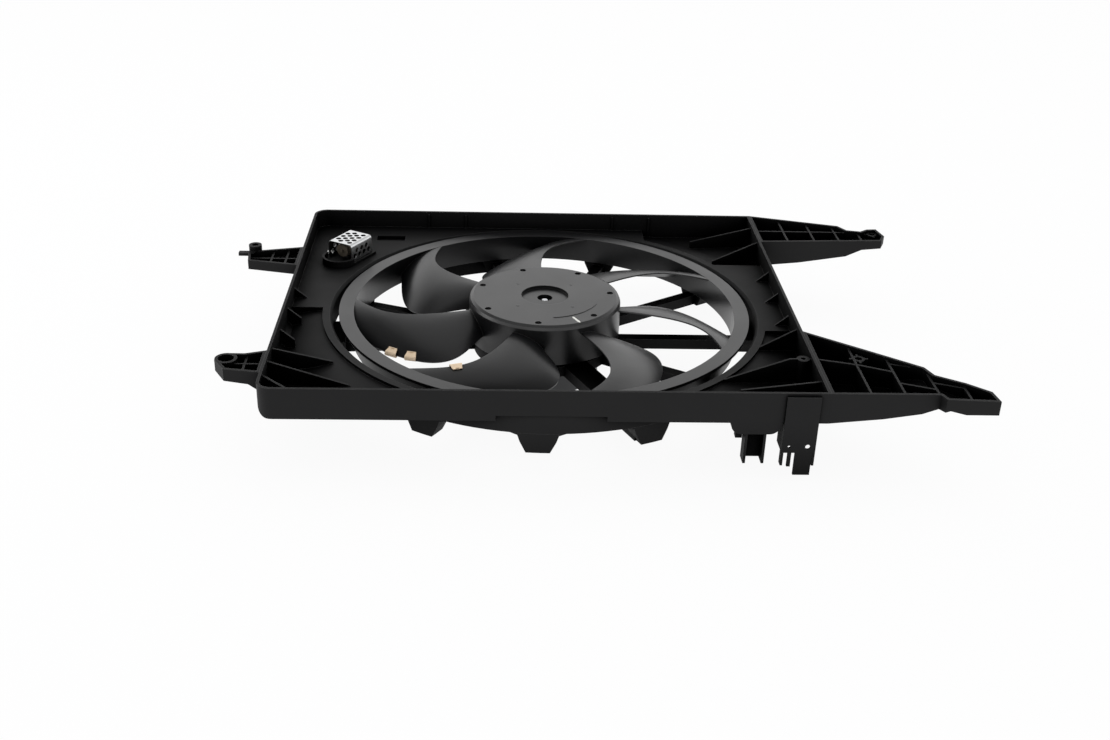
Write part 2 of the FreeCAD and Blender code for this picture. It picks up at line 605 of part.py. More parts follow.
def make_tray_ribs():
    """Ribs, gussets and bosses that stand on the tray's floor."""
    floor, low = "tray_under", "tray_near"
    ribs = []
    for name, wall, side, end_top in (
        ("left_a", "tray_left", "+", "lip_foot"),
        ("left_b", "tray_left", "+", "lip_foot - skin"),
        ("right_a", "tray_right", "-", "shelf_top"),
        ("right_c", "tray_right", "-", "rib_top"),
    ):
        start = (wall, "%s + %s_wall" % (low, name))
        end = ("%s %s %s_x" % (wall, side, name), "%s + %s_y" % (low, name))
        ribs.append(rib("tray_rib_" + name, start, end, floor, "rib_top", end_top))
    bend = ("tray_right - right_b_bend_x", low + " + right_b_wall")
    ribs.append(rib("tray_rib_right_b", ("tray_right", bend[1]), bend, floor, "rib_top", "rib_top"))
    foot = ("tray_right - right_b_x", low + " + right_b_y")
    ribs.append(rib("tray_rib_right_bend", bend, foot, floor, "rib_top", "shelf_top"))
    for name in ("back_a", "back_b"):
        start = ("tray_right", "tray_back - %s_wall" % name)
        end = ("tray_right - %s_x" % name, "tray_back - %s_y" % name)
        ribs.append(rib("tray_rib_" + name, start, end, floor, "rib_top", "shelf_top"))
    start, end = ("tray_left", low + " + corner_reach"), ("tray_left + corner_reach", low)
    ribs.append(rib("tray_rib_corner", start, end, floor, "rib_top", "rib_top"))
    for number in range(3):
        for name, wall, side, base in (
            ("gusset_right", "tray_right", "-", "shelf_top - skin / 2"),
            ("gusset_left", "tray_left", "+", "tray_under"),
        ):
            place = "%s + %d * %s_pitch" % (name, number, name)
            foot = "%s %s (skin + gusset_reach)" % (wall, side)
            top = "shelf_top + gusset_tall"
            ribs.append(rib("%s_%d" % (name, number), (wall, place), (foot, place), base, top, "shelf_top"))
    for name in ("far_rib_a", "far_rib_b"):
        for word, side in (("left", "-"), ("right", "")):
            reach = ("%s%s - rib / 2" % (side, name), "%s%s + rib / 2" % (side, name))
            deep = ("tray_back - skin - far_rib_deep", "tray_back - skin / 2")
            ribs.append(box("%s_%s" % (name, word), reach, deep, ("tray_under", "rib_top")))
    at = ("tray_right - post_x", low + " + post_y")
    ribs.append(rod("tray_post", "arm_boss", (floor, "rib_top"), at))
    bore = rod("tray_post_bore", "post_bore", ("tray_under + skin", "rim_top"), at)
    return fuse("tray_ribs", *ribs), bore


def make_tray():
    """Moulded tray: walls, stepped floor, collar, corner ribs and wall gussets."""
    across = ("tray_left", "tray_right")
    along = ("tray_near", "tray_back")

    def left_corner(edge):
        """True for the upright edges on the left."""
        return upright(edge) and edge.BoundBox.XMax < 0

    outline = box("tray_block", across, along, ("sump_under", "rim_top"))
    outside = rounded("tray_footprint", outline, "tray_corner", left_corner)
    within = box(
        "tray_hollow_block",
        ("tray_left + skin", "tray_right - skin"),
        ("tray_near + skin", "tray_back - skin"),
        ("sump_under - " + PAST, "rim_top + " + PAST),
    )
    inside = rounded("tray_hollow", within, "tray_corner - skin", left_corner)
    wide = ("tray_left - " + PAST, "tray_right + " + PAST)
    long = ("tray_near - " + PAST, "tray_back + " + PAST)
    above = box("above_under", wide, long, ("tray_under", "rim_top + " + PAST))
    walls = cut("walls", common("wall_block", outside, above), inside)
    below = ("tray_under - " + PAST, "tray_under + skin + " + PAST)
    low_slab = box("low_floor_block", wide, long, ("tray_under", "tray_under + skin"))
    low_floor = cut("low_floor", common("low_floor_in", low_slab, outside), rod("low_eye", "slope_edge", below))
    slope = turned("sloping_floor", [
        ("lip_edge - lip_bell", "lip_foot - skin"),
        ("lip_edge - lip_bell", "lip_foot"),
        ("lip_edge", "lip_foot"),
        ("slope_edge", "tray_under + skin"),
        ("slope_edge", "tray_under"),
        ("lip_edge", "lip_foot - skin"),
    ])
    raised = common("raised_floor", make_shelf("shelf", "0", "tray_under", "shelf_top"), outside)
    hollow_under = make_shelf("shelf_under", "skin", "tray_under - " + PAST, "shelf_top - skin")
    under_shelf = make_shelf("shelf_area", "0", "tray_under - " + PAST, "rim_top")
    slope_in = cut("slope_beside_shelf", common("slope_in", slope, outside), under_shelf)
    eye = rod("fan_eye", "lip_edge", ("tray_under - " + PAST, "shelf_top"))
    floors = cut("tray_floors", fuse("floors", walls, low_floor, raised), hollow_under, eye)
    lip = turned("collar_lip", [
        ("collar", "lip_foot - skin"),
        ("collar", "shelf_top - lip_bell"),
        ("collar + lip_bell", "shelf_top"),
        ("lip_edge", "shelf_top"),
        ("lip_edge", "lip_foot - skin"),
    ])
    skirt = turned("collar_skirt", [
        ("collar", "collar_bottom"),
        ("collar", "lip_foot - skin"),
        ("collar + collar_wall", "lip_foot - skin"),
        ("leg_edge", "collar_bottom"),
    ])

    def low_edge(edge):
        """True for the two lower edges that run into the tray."""
        span = edge.BoundBox
        return span.XLength < NEAR_ZERO and span.ZLength < NEAR_ZERO and span.ZMax < size("tray_under")

    sump_y = ("tray_near", "tray_near + sump_width")
    sump_block = box("sump_block", ("sump_left", "sump_right"), sump_y, ("sump_under", "tray_under + skin"))
    sump = rounded("sump_rounded", sump_block, "sump_round", low_edge)
    sump_room = box(
        "sump_room",
        ("sump_left + skin", "sump_right - skin"),
        ("tray_near + skin", "tray_near + sump_width - skin"),
        ("sump_under + skin", "tray_under + skin + " + PAST),
    )
    sump_hollow = rounded("sump_hollow", sump_room, "sump_round - skin", low_edge)
    ribs, post_bore = make_tray_ribs()
    webs = common("ribs_inside_walls", ribs, inside)
    recess_x = ("tray_left + recess_left", "tray_left + recess_left + recess_long")
    recess_y = ("tray_back - recess_near", "tray_back - recess_near + recess_wide")
    recess = box("recess_block", recess_x, recess_y, ("shelf_top - recess_deep", "shelf_top"))
    recess_room = box(
        "recess_room",
        (recess_x[0] + " + skin", recess_x[1] + " - skin"),
        (recess_y[0] + " + skin", recess_y[1] + " - skin"),
        ("shelf_top - recess_deep + skin", "shelf_top + " + PAST),
    )
    tray = fuse(
        "tray_body",
        floors,
        slope_in,
        common("lip_inside_walls", lip, outside),
        skirt,
        webs,
        sump,
        recess,
    )
    taps = []
    for number, at in enumerate(tap_places()):
        height = ("tray_under", "shelf_top + " + PAST)
        taps.append(rod("tap_hole_%d" % number, "tap_radius + screw_fit", height, at))
    open_tray = cut("open_tray", tray, sump_hollow, recess_room, post_bore, *taps)
    bend_x, bend_z = "tray_left + low_round", "tray_under + low_round"
    edge_long = ("tray_near - " + PAST, "shelf_left_from")
    quadrant = box("edge_quadrant", ("tray_left - " + PAST, bend_x), edge_long, ("tray_under - " + PAST, bend_z))
    edge_rod = lying_rod("edge_rod", "low_round", bend_x, edge_long, bend_z)
    edge_room = lying_rod("edge_room", "low_round - skin", bend_x, edge_long, bend_z)
    beyond = cut("beyond_edge", quadrant, edge_rod)
    bend = common("edge_quarter", cut("edge_tube", edge_rod, edge_room), quadrant)
    return fuse("shroud_tray", cut("tray_trimmed", open_tray, beyond), common("edge_in", bend, outside))


def inset(corners, wall):
    """Outline moved inwards by a wall thickness, as values read from the sheet."""
    points = [V(size(x), size(y), 0) for x, y in corners]
    count = len(points)
    area = sum(points[i].x * points[(i + 1) % count].y - points[(i + 1) % count].x * points[i].y for i in range(count))
    side = math.copysign(size(wall), area)
    moved = []
    for i in range(count):
        before = (points[i] - points[i - 1]).normalize()
        after = (points[(i + 1) % count] - points[i]).normalize()
        left = V(-before.y - after.y, before.x + after.x, 0)
        point = points[i] + left * (side / (1 + before.dot(after)))
        moved.append((repr(point.x), repr(point.y)))
    return moved


def make_arm(name, wall, side_wall):
    """Open-topped bracket arm: walls that follow its outline, sloping floor, plates and ribs."""

    def at(x, y):
        """Point given from the wall that carries the arm and from the far or near wall."""
        return "%s + %s" % (wall, x), "%s + %s" % (side_wall, y)

    low = "sump_under - " + PAST
    high = "rim_top + " + PAST
    count = len(ARM_PLANS[name]) - 2
    plan = [(wall, "%s + %s_root_a" % (side_wall, name))]
    plan += [at("%s_x%d" % (name, i), "%s_y%d" % (name, i)) for i in range(1, count + 1)]
    plan += [(wall, "%s + %s_root_b" % (side_wall, name))]
    floor = [(wall, name + "_low_z0")]
    for i in range(1, len(ARM_SIDES[name])):
        floor.append(("%s + %s_low_x%d" % (wall, name, i), "%s_low_z%d" % (name, i)))
    side = [(x, z) for x, z in floor] + [(floor[-1][0], "rim_top"), (wall, "rim_top")]
    within = [(x, "%s + skin" % z) for x, z in floor] + [(floor[-1][0], high), (wall, high)]
    upright_place = FreeCAD.Placement(V(0, size("tray_back"), 0), FreeCAD.Rotation(V(1, 0, 0), 90))
    span = "tray_back - tray_near + 4 * " + PAST
    lift = FreeCAD.Placement(V(0, 0, size(low)), FreeCAD.Rotation())
    column = prism(name + "_column", plan, "%s - (%s)" % (high, low), lift)
    slab = prism(name + "_slab", side, span, upright_place)
    outer = common(name + "_outer", column, slab)
    pit = prism(name + "_pit", inset(plan, "skin"), "%s - (%s)" % (high, low), lift)
    room = common(name + "_room", pit, prism(name + "_within", within, span, upright_place))
    shell = cut(name + "_shell", outer, room)
    top = "rim_top - arm_rib_drop"
    plates = []
    for i in range(len(ARM_PLATES[name])):
        x = "%s + %s_plate_%d" % (wall, name, i)
        across = ("tray_near - 4 * " + PAST, "tray_back + " + PAST)
        plates.append(box("%s_cross_%d" % (name, i), (x + " - rib / 2", x + " + rib / 2"), across, (low, top)))
    for i in range(len(ARM_RIBS[name])):
        start = at("%s_rib_ax%d" % (name, i), "%s_rib_ay%d" % (name, i))
        end = at("%s_rib_bx%d" % (name, i), "%s_rib_by%d" % (name, i))
        plates.append(rib("%s_along_%d" % (name, i), start, end, low, top, top))
    return shell, plates, outer


def make_arms():
    """The four bracket arms with their bolt bosses."""
    low = "sump_under - " + PAST
    top = "rim_top - arm_rib_drop"
    for name, wall, side_wall in (
        ("left_back", "tray_left", "tray_back"),
        ("left_near", "tray_left", "tray_near"),
        ("right_back", "tray_right", "tray_back"),
        ("right_near", "tray_right", "tray_near"),
    ):
        shell, plates, outer = make_arm(name, wall, side_wall)
        at = ("%s + %s_bolt_x" % (wall, name), "%s + %s_bolt_y" % (side_wall, name))
        extra = []
        if name == "left_back":
            tall = "rim_top + left_back_rise"
            extra.append(rod(name + "_boss", "left_back_boss", (name + "_low_z1", tall), at))
            tongue_y = (at[1] + " - tongue_from - tongue_wide", at[1] + " - tongue_from")
            tongue_z = ("rim_top - tongue_thick", "rim_top")
            tongue_x = (at[0] + " - left_back_tongue", at[0])
            extra.append(box(name + "_tongue", tongue_x, tongue_y, tongue_z))
            hole = rod(name + "_bolt", "arm_bore", (low, tall + " + " + PAST), at)
        elif name == "left_near":
            extra.append(rod(name + "_cup", "cup_radius", ("left_near_low_z2", "rim_top"), at))
            pit = rod(name + "_cup_pit", "cup_bore", ("left_near_low_z2 + cup_floor", "rim_top + " + PAST), at)
            hole = fuse(name + "_holes", pit, rod(name + "_bolt", "arm_bore", (low, "rim_top + " + PAST), at))
        else:
            plates.append(rod(name + "_boss", "arm_boss", (low, top), at))
            for side, run in (("a", ("star_reach", "0")), ("b", ("0", "star_reach"))):
                start = (at[0] + " - " + run[0], at[1] + " - " + run[1])
                end = (at[0] + " + " + run[0], at[1] + " + " + run[1])
                plates.append(rib("%s_star_%s" % (name, side), start, end, low, top, top))
            hole = rod(name + "_bolt", "arm_bore", (low, "rim_top + " + PAST), at)
        webs = common(name + "_webs", fuse(name + "_plates", *plates), outer)
        whole = fuse(name + "_whole", shell, webs, *extra)
        named(cut("arm_" + name, whole, hole), "arm_" + name)


def outward(angle, reach=0.0):
    """Placement of an outline that stands upright across the direction angle, looking outwards."""
    turn = FreeCAD.Rotation(Z_AXIS, angle).multiply(FreeCAD.Rotation(V(1, 1, 1), 120))
    return FreeCAD.Placement(turn.multVec(V(0, 0, reach)), turn)


def spoke(name, reach, width, z, angle):
    """Bar along the direction angle, between two distances from the fan axis."""
    bar = box(name, reach, ("-(%s) / 2" % width, "(%s) / 2" % width), z)
    near, half = "(%s)" % reach[0], "(%s) / 2" % width
    bind(bar, Placement__Rotation__Angle=angle)
    bind(bar, Placement__Base__x="%s * cos(%s) + %s * sin(%s)" % (near, angle, half, angle))
    return bind(bar, Placement__Base__y="%s * sin(%s) - %s * cos(%s)" % (near, angle, half, angle))


def polar(distance, angle):
    """Coordinates of a point at a distance from the fan axis."""
    return "%s * cos(%s)" % (distance, angle), "%s * sin(%s)" % (distance, angle)


def ear_angles():
    """Directions of the motor's ears and screws."""
    count = int(size("ear_count"))
    return ["(ear_turn + %d * 360 / ear_count)" % i for i in range(count)]


def make_carrier():
    """Ring that holds the motor, on spokes that end in legs under the collar."""
    ring = turned(
        "motor_ring",
        [
            ("carrier_inside", "carrier_bottom"),
            ("carrier_outside", "carrier_bottom"),
            ("carrier_outside", "carrier_top"),
            ("carrier_inside", "carrier_top"),
        ],
    )
    height = ("carrier_bottom", "carrier_top")
    bars = []
    legs = []
    for number in range(1, len(SPOKES) + 1):
        angle = "spoke_angle_%d" % number
        reach = ("ear_place", "leg_edge - leg_depth / 2")
        width = "plate_width" if number == CABLE_SPOKE else "spoke_width"
        bars.append(spoke("spoke_%d" % number, reach, width, height, angle))
        corners = [
            ("-leg_foot_width / 2", "carrier_bottom"),
            ("leg_foot_width / 2", "carrier_bottom"),
            ("leg_top_width / 2", "collar_bottom - leg_flare"),
            ("leg_top_width / 2 + leg_flare / 4", "collar_bottom - leg_flare / 4"),
            ("leg_top_width / 2 + leg_flare", "collar_bottom"),
            ("-leg_top_width / 2 - leg_flare", "collar_bottom"),
            ("-leg_top_width / 2 - leg_flare / 4", "collar_bottom - leg_flare / 4"),
            ("-leg_top_width / 2", "collar_bottom - leg_flare"),
        ]
        place = outward(size(angle), size("leg_edge - leg_depth"))
        legs.append(prism("leg_%d" % number, corners, "leg_depth + " + PAST, place))
    hull = rod("leg_limit", "leg_edge", ("carrier_bottom", "collar_bottom"))
    feet = common("legs_in_line", fuse("legs", *legs), hull)
    guard_z = ("guard_low", "collar_bottom")
    guard_out, guard_in = rod("guard_out", "leg_edge", guard_z), rod("guard_in", "collar", guard_z)
    for half in (guard_out, guard_in):
        bind(half, Placement__Rotation__Angle="guard_from", Angle="guard_span")
    guard = cut("guard", guard_out, guard_in)
    holes = []
    for number, angle in enumerate(ear_angles()):
        across = ("carrier_bottom - " + PAST, "carrier_top + " + PAST)
        holes.append(rod("carrier_hole_%d" % number, "screw_radius + screw_fit", across, polar("ear_place", angle)))
    named(cut("motor_carrier", fuse("carrier_body", ring, feet, guard, *bars), *holes), "motor_carrier")


def blade_section(body, number):
    """Curved outline of the blade at one station, on a plane across the blade."""
    at = {word: "blade_%s_%d" % (word, number) for word in ("radius", "lead", "lead_z", "trail", "trail_z")}
    half_turn = (size(at["trail"]) - size(at["lead"])) / 2
    middle = (size(at["trail"]) + size(at["lead"])) / 2
    half = size(at["radius"]) * math.sin(math.radians(half_turn))
    drop = size(at["trail_z"]) - size(at["lead_z"])
    chord = math.hypot(2 * half, drop)
    half_text = "%s * sin((%s - %s) / 2)" % (at["radius"], at["trail"], at["lead"])
    drop_text = "(%s - %s)" % (at["trail_z"], at["lead_z"])
    chord_text = "sqrt(4 * pow(%s; 2) + pow(%s; 2))" % (half_text, drop_text)
    side_text = ("-%s / (%s)" % (drop_text, chord_text), "2 * %s / (%s)" % (half_text, chord_text))
    sketch = body_sketch(body, "blade_section_%d" % number, "YZ_Plane")
    reach = size(at["radius"]) * math.cos(math.radians(half_turn))
    turn = math.radians(middle)
    shift = V(reach * math.sin(turn), 0, reach * math.cos(turn))
    sketch.AttachmentOffset = FreeCAD.Placement(shift, FreeCAD.Rotation(V(0, 1, 0), middle))
    across = V(-drop / chord, 2 * half / chord, 0)
    ends = (V(-half, size(at["lead_z"]), 0), V(half, size(at["trail_z"]), 0))
    edge, thick, camber = size("blade_edge"), size("blade_thick"), size("blade_camber")
    centre = (ends[0] + ends[1]) / 2
    arcs = []
    for sign in (1, -1):
        rise = camber + sign * (thick - edge) / 2
        radius = (chord * chord / 4 + rise * rise) / (2 * rise)
        hub = centre + across * (sign * edge / 2 + rise - radius)
        corners = [end + across * (sign * edge / 2) for end in ends]
        turns = [math.atan2(c.y - hub.y, c.x - hub.x) for c in corners]
        if turns[0] < turns[1]:
            turns[0] += 2 * math.pi
        arcs.append((Part.ArcOfCircle(Part.Circle(hub, Z_AXIS, radius), turns[1], turns[0]), corners))
    (upper, top_ends), (lower, low_ends) = arcs
    sketch.addGeometry(upper, False)
    sketch.addGeometry(Part.LineSegment(top_ends[1], low_ends[1]), False)
    sketch.addGeometry(lower, False)
    sketch.addGeometry(Part.LineSegment(low_ends[0], top_ends[0]), False)
    for a, end_a, b, end_b in ((0, 1, 1, 1), (1, 2, 2, 1), (2, 2, 3, 1), (3, 2, 0, 2)):
        sketch.addConstraint(Sketcher.Constraint("Coincident", a, end_a, b, end_b))
    for geo, end, side, sign, point in (
        (1, 1, "", "+", top_ends[1]),
        (1, 2, "", "-", low_ends[1]),
        (3, 1, "-", "-", low_ends[0]),
        (3, 2, "-", "+", top_ends[0]),
    ):
        height = at["trail_z"] if geo == 1 else at["lead_z"]
        texts = (
            "%s(%s) %s blade_edge / 2 * %s" % (side, half_text, sign, side_text[0]),
            "%s %s blade_edge / 2 * %s" % (height, sign, side_text[1]),
        )
        for kind, text, value in zip(("DistanceX", "DistanceY"), texts, (point.x, point.y)):
            where = sketch.addConstraint(Sketcher.Constraint(kind, -1, 1, geo, end, value))
            sketch.setExpression("Constraints[%d]" % where, tied(text))
    for geo, sign in ((0, "+"), (2, "-")):
        rise = "(blade_camber %s (blade_thick - blade_edge) / 2)" % sign
        text = "(pow(%s; 2) / 4 + pow(%s; 2)) / (2 * %s)" % (chord_text, rise, rise)
        radius = (upper if geo == 0 else lower).Radius
        where = sketch.addConstraint(Sketcher.Constraint("Radius", geo, radius))
        sketch.setExpression("Constraints[%d]" % where, tied(text))
    return sketch


def make_fan():
    """Fan: hub, seven swept and twisted blades lofted through five sections, and the outer ring."""
    body = doc.addObject("PartDesign::Body", "fan_impeller")
    hub = body_sketch(body, "hub_section", "XZ_Plane")
    bore = "shaft_radius + seat_fit"
    pin_corners(hub, [
        (bore, "boss_bottom"),
        ("hub_radius - hub_skin", "boss_bottom"),
        ("hub_radius - hub_skin", "hub_bottom"),
        ("hub_radius", "hub_bottom"),
        ("hub_radius", "hub_top - hub_round"),
        ("hub_radius - hub_bevel", "hub_top - hub_bevel"),
        ("hub_radius - hub_round", "hub_top"),
        ("dish_radius", "hub_top"),
        ("dish_radius", "dish_floor"),
        ("well_radius", "dish_floor"),
        ("well_radius", "well_floor"),
        (bore, "well_floor"),
    ])
    hub_turn = body.newObject("PartDesign::Revolution", "hub_turn")
    hub_turn.Profile = hub
    hub_turn.ReferenceAxis = (hub, ["V_Axis"])
    hub_turn.Angle = 360
    sections = [blade_section(body, number) for number in range(1, len(STATIONS) + 1)]
    doc.recompute()
    blade = body.newObject("PartDesign::AdditiveLoft", "blade")
    blade.Profile = sections[0]
    blade.Sections = sections[1:]
    blade.Ruled = False
    blade.Closed = False
    doc.recompute()
    blades = body.newObject("PartDesign::PolarPattern", "blades")
    blades.Originals = [blade]
    blades.Axis = (hub, ["V_Axis"])
    blades.Angle = 360
    blades.setExpression("Occurrences", tied("blade_count"))
    body.Tip = blades
    doc.recompute()
    ring = body_sketch(body, "ring_section", "XZ_Plane")
    pin_corners(ring, [
        ("ring_inside", "-ring_depth"),
        ("ring_inside + ring_wall", "-ring_depth"),
        ("ring_inside + ring_wall", "-ring_flange"),
        ("ring_radius", "-ring_flange"),
        ("ring_radius", "0"),
        ("ring_inside", "0"),
    ])
    ring_turn = body.newObject("PartDesign::Revolution", "ring_turn")
    ring_turn.Profile = ring
    ring_turn.ReferenceAxis = (ring, ["V_Axis"])
    ring_turn.Angle = 360
    body.Tip = ring_turn
    doc.recompute()
    hollow = body_sketch(body, "hollow_section", "XZ_Plane")
    pin_corners(hollow, [
        ("boss_radius", "hub_bottom - " + PAST),
        ("hub_radius - hub_skin", "hub_bottom - " + PAST),
        ("hub_radius - hub_skin", "hub_top - hub_skin"),
        ("dish_radius + hub_skin", "hub_top - hub_skin"),
        ("dish_radius + hub_skin", "dish_floor - hub_skin"),
        ("boss_radius", "dish_floor - hub_skin"),
    ])
    trim = body_sketch(body, "trim_section", "XZ_Plane")
    pin_corners(trim, [
        ("ring_inside + ring_wall", "-ring_depth - 2 * " + PAST),
        ("ring_radius + " + PAST, "-ring_depth - 2 * " + PAST),
        ("ring_radius + " + PAST, "-ring_flange"),
        ("ring_inside + ring_wall", "-ring_flange"),
    ])
    for sketch in (hollow, trim):
        groove = body.newObject("PartDesign::Groove", sketch.Name + "_groove")
        groove.Profile = sketch
        groove.ReferenceAxis = (sketch, ["V_Axis"])
        groove.Angle = 360
        body.Tip = groove
        doc.recompute()
    notches = []
    for number in range(int(size("blade_count"))):
        angle = "(notch_turn + %d * 360 / blade_count)" % number
        height = ("hub_top - notch_depth", "hub_top + " + PAST)
        notches.append(rod("notch_%d" % number, "notch_radius", height, polar("notch_place", angle)))
    face = "hub_top - hub_skin"
    ribs = []
    for number in range(int(size("blade_count"))):
        angle = "(hub_rib_turn + %d * 360 / blade_count)" % number
        reach = ("dish_radius + hub_skin / 2", "hub_radius - hub_skin / 2")
        height = (face + " - spider_tall", face + " + rib / 2")
        ribs.append(spoke("hub_rib_%d" % number, reach, "rib", height, angle))
    named(cut("fan_with_notches", fuse("fan_ribbed", body, *ribs), *notches), "fan_impeller")


def make_motor():
    """Motor: can with ears, end cap, bushes, magnets, brushes, and the turning armature on its shaft."""
    can = turned("can_shell", [
        ("0", "can_bottom"),
        ("can_radius", "can_bottom"),
        ("can_radius", "can_top"),
        ("can_inner", "can_top"),
        ("can_inner", "can_floor"),
        ("bush_radius + bush_seat", "can_floor"),
        ("bush_radius + bush_seat", "can_floor + bush_long"),
        ("bush_radius", "can_floor + bush_long"),
        ("bush_radius", "can_floor"),
        ("0", "can_floor"),
    ])
    ears = []
    holes = []
    screws = []
    for number, angle in enumerate(ear_angles()):
        height = ("carrier_top", "ear_top")
        at = polar("ear_place", angle)
        ears.append(rod("ear_%d" % number, "ear_radius", height, at))
        reach = ("can_radius - can_wall / 2", "ear_place")
        ears.append(spoke("ear_root_%d" % number, reach, "2 * ear_radius", height, angle))
        past = ("carrier_top - " + PAST, "ear_top + " + PAST)
        holes.append(rod("ear_hole_%d" % number, "screw_radius + screw_fit", past, at))
        shank = rod("shank_%d" % number, "screw_radius", ("carrier_bottom - screw_tip", "ear_top"), at)
        cap = rod("head_%d" % number, "screw_head", ("ear_top", "ear_top + screw_head_tall"), at)
        screws.append(fuse("screw_%d" % number, shank, cap))
    named(cut("motor_can", fuse("can_with_ears", can, *ears), *holes), "motor_can")
    named(group("motor_screws", *screws), "motor_screws")

    seat = "cap_top - cap_shoulder"
    lip = "can_inner - cap_fit"
    named(turned("motor_end_cap", [
        ("cap_hole", seat),
        ("bush_radius", seat),
        ("bush_radius", seat + " - bush_long"),
        ("bush_radius + bush_seat", seat + " - bush_long"),
        ("bush_radius + bush_seat", "can_top"),
        (lip + " - cap_lip_wall", "can_top"),
        (lip + " - cap_lip_wall", "can_top - cap_lip"),
        (lip, "can_top - cap_lip"),
        (lip, "can_top"),
        ("can_radius", "can_top"),
        ("can_radius", "cap_top"),
        ("cap_hole", "cap_top"),
    ]), "motor_end_cap")
    for node, bottom in (("front_bush", seat + " - bush_long"), ("rear_bush", "can_floor")):
        named(turned(node, [
            ("shaft_radius + run_fit", bottom),
            ("bush_radius", bottom),
            ("bush_radius", bottom + " + bush_long"),
            ("shaft_radius + run_fit", bottom + " + bush_long"),
        ]), node)

    magnets = []
    span = ("core_bottom - magnet_over", "core_top + magnet_over")
    for number in range(int(size("magnet_count"))):
        angle = "45 - magnet_span / 2 + %d * 360 / magnet_count" % number
        outer = rod("magnet_outer_%d" % number, "can_inner - glue_gap", span)
        hollow = rod("magnet_inner_%d" % number, "core_rim + rotor_gap", span)
        for half in (outer, hollow):
            bind(half, Placement__Rotation__Angle=angle, Angle="magnet_span")
        magnets.append(cut("magnet_%d" % number, outer, hollow))
    named(group("field_magnets", *magnets), "field_magnets")

    named(turned("brush_card", [
        ("card_hole", "card_low"),
        (lip, "card_low"),
        (lip, "card_top"),
        ("card_hole", "card_top"),
    ]), "brush_card")
    brushes = []
    for number in range(int(size("brush_count"))):
        reach = ("commutator_radius + brush_gap", "commutator_radius + brush_gap + brush_long")
        angle = "(45 + %d * 360 / brush_count)" % number
        height = ("card_low - brush_tall", "card_low")
        brushes.append(spoke("brush_%d" % number, reach, "brush_width", height, angle))
    named(group("brushes", *brushes), "brushes")

    bore = "shaft_radius + seat_fit"
    blank = turned("core_blank", [
        (bore, "core_bottom"),
        ("core_rim", "core_bottom"),
        ("core_rim", "core_top"),
        (bore, "core_top"),
    ])
    slots = []
    bars = []
    for number in range(int(size("slot_count"))):
        angle = "(%d * 360 / slot_count)" % number
        past = ("core_bottom - " + PAST, "core_top + " + PAST)
        slots.append(spoke("slot_%d" % number, ("slot_floor", "core_rim + " + PAST), "slot_width", past, angle))
        height = ("core_bottom - coil_rise / 2", "core_top + coil_rise / 2")
        reach = ("slot_floor", "coil_outside")
        bars.append(spoke("coil_bar_%d" % number, reach, "slot_width - 2 * slot_fit", height, angle))
    named(cut("armature_core", blank, *slots), "armature_core")
    ends = []
    for word, low, high in (
        ("rear", "core_bottom - coil_rise", "core_bottom"),
        ("front", "core_top", "core_top + coil_rise"),
    ):
        ends.append(turned("coil_end_" + word, [
            ("coil_inside", low),
            ("coil_outside", low),
            ("coil_outside", high),
            ("coil_inside", high),
        ]))
    named(fuse("armature_winding", *(ends + bars)), "armature_winding")
    named(turned("commutator", [
        (bore, "card_low - commutator_long"),
        ("commutator_radius", "card_low - commutator_long"),
        ("commutator_radius", "card_low"),
        (bore, "card_low"),
    ]), "commutator")
    named(turned("motor_shaft", [
        ("0", "can_floor + shaft_end_gap"),
        ("shaft_radius", "can_floor + shaft_end_gap"),
        ("shaft_radius", "shaft_shoulder - (shaft_radius - shaft_end)"),
        ("shaft_end", "shaft_shoulder"),
        ("0", "shaft_shoulder"),
    ]), "motor_shaft")
    named(turned("fan_retainer", [
        (bore, "well_floor"),
        ("ring_clip_radius", "well_floor"),
        ("ring_clip_radius", "well_floor + ring_clip_thick"),
        (bore, "well_floor + ring_clip_thick"),
    ]), "fan_retainer")


def group(name, *solids):
    """Several solids of one piece, kept apart."""
    together = doc.addObject("Part::Compound", name)
    together.Links = list(solids)
    return together


def on_base(solid):
    """Turn a solid made along X onto the resistor's direction."""
    bind(solid, Placement__Base__x="cage_x", Placement__Base__y="cage_y")
    return bind(solid, Placement__Rotation__Angle="cage_turn")


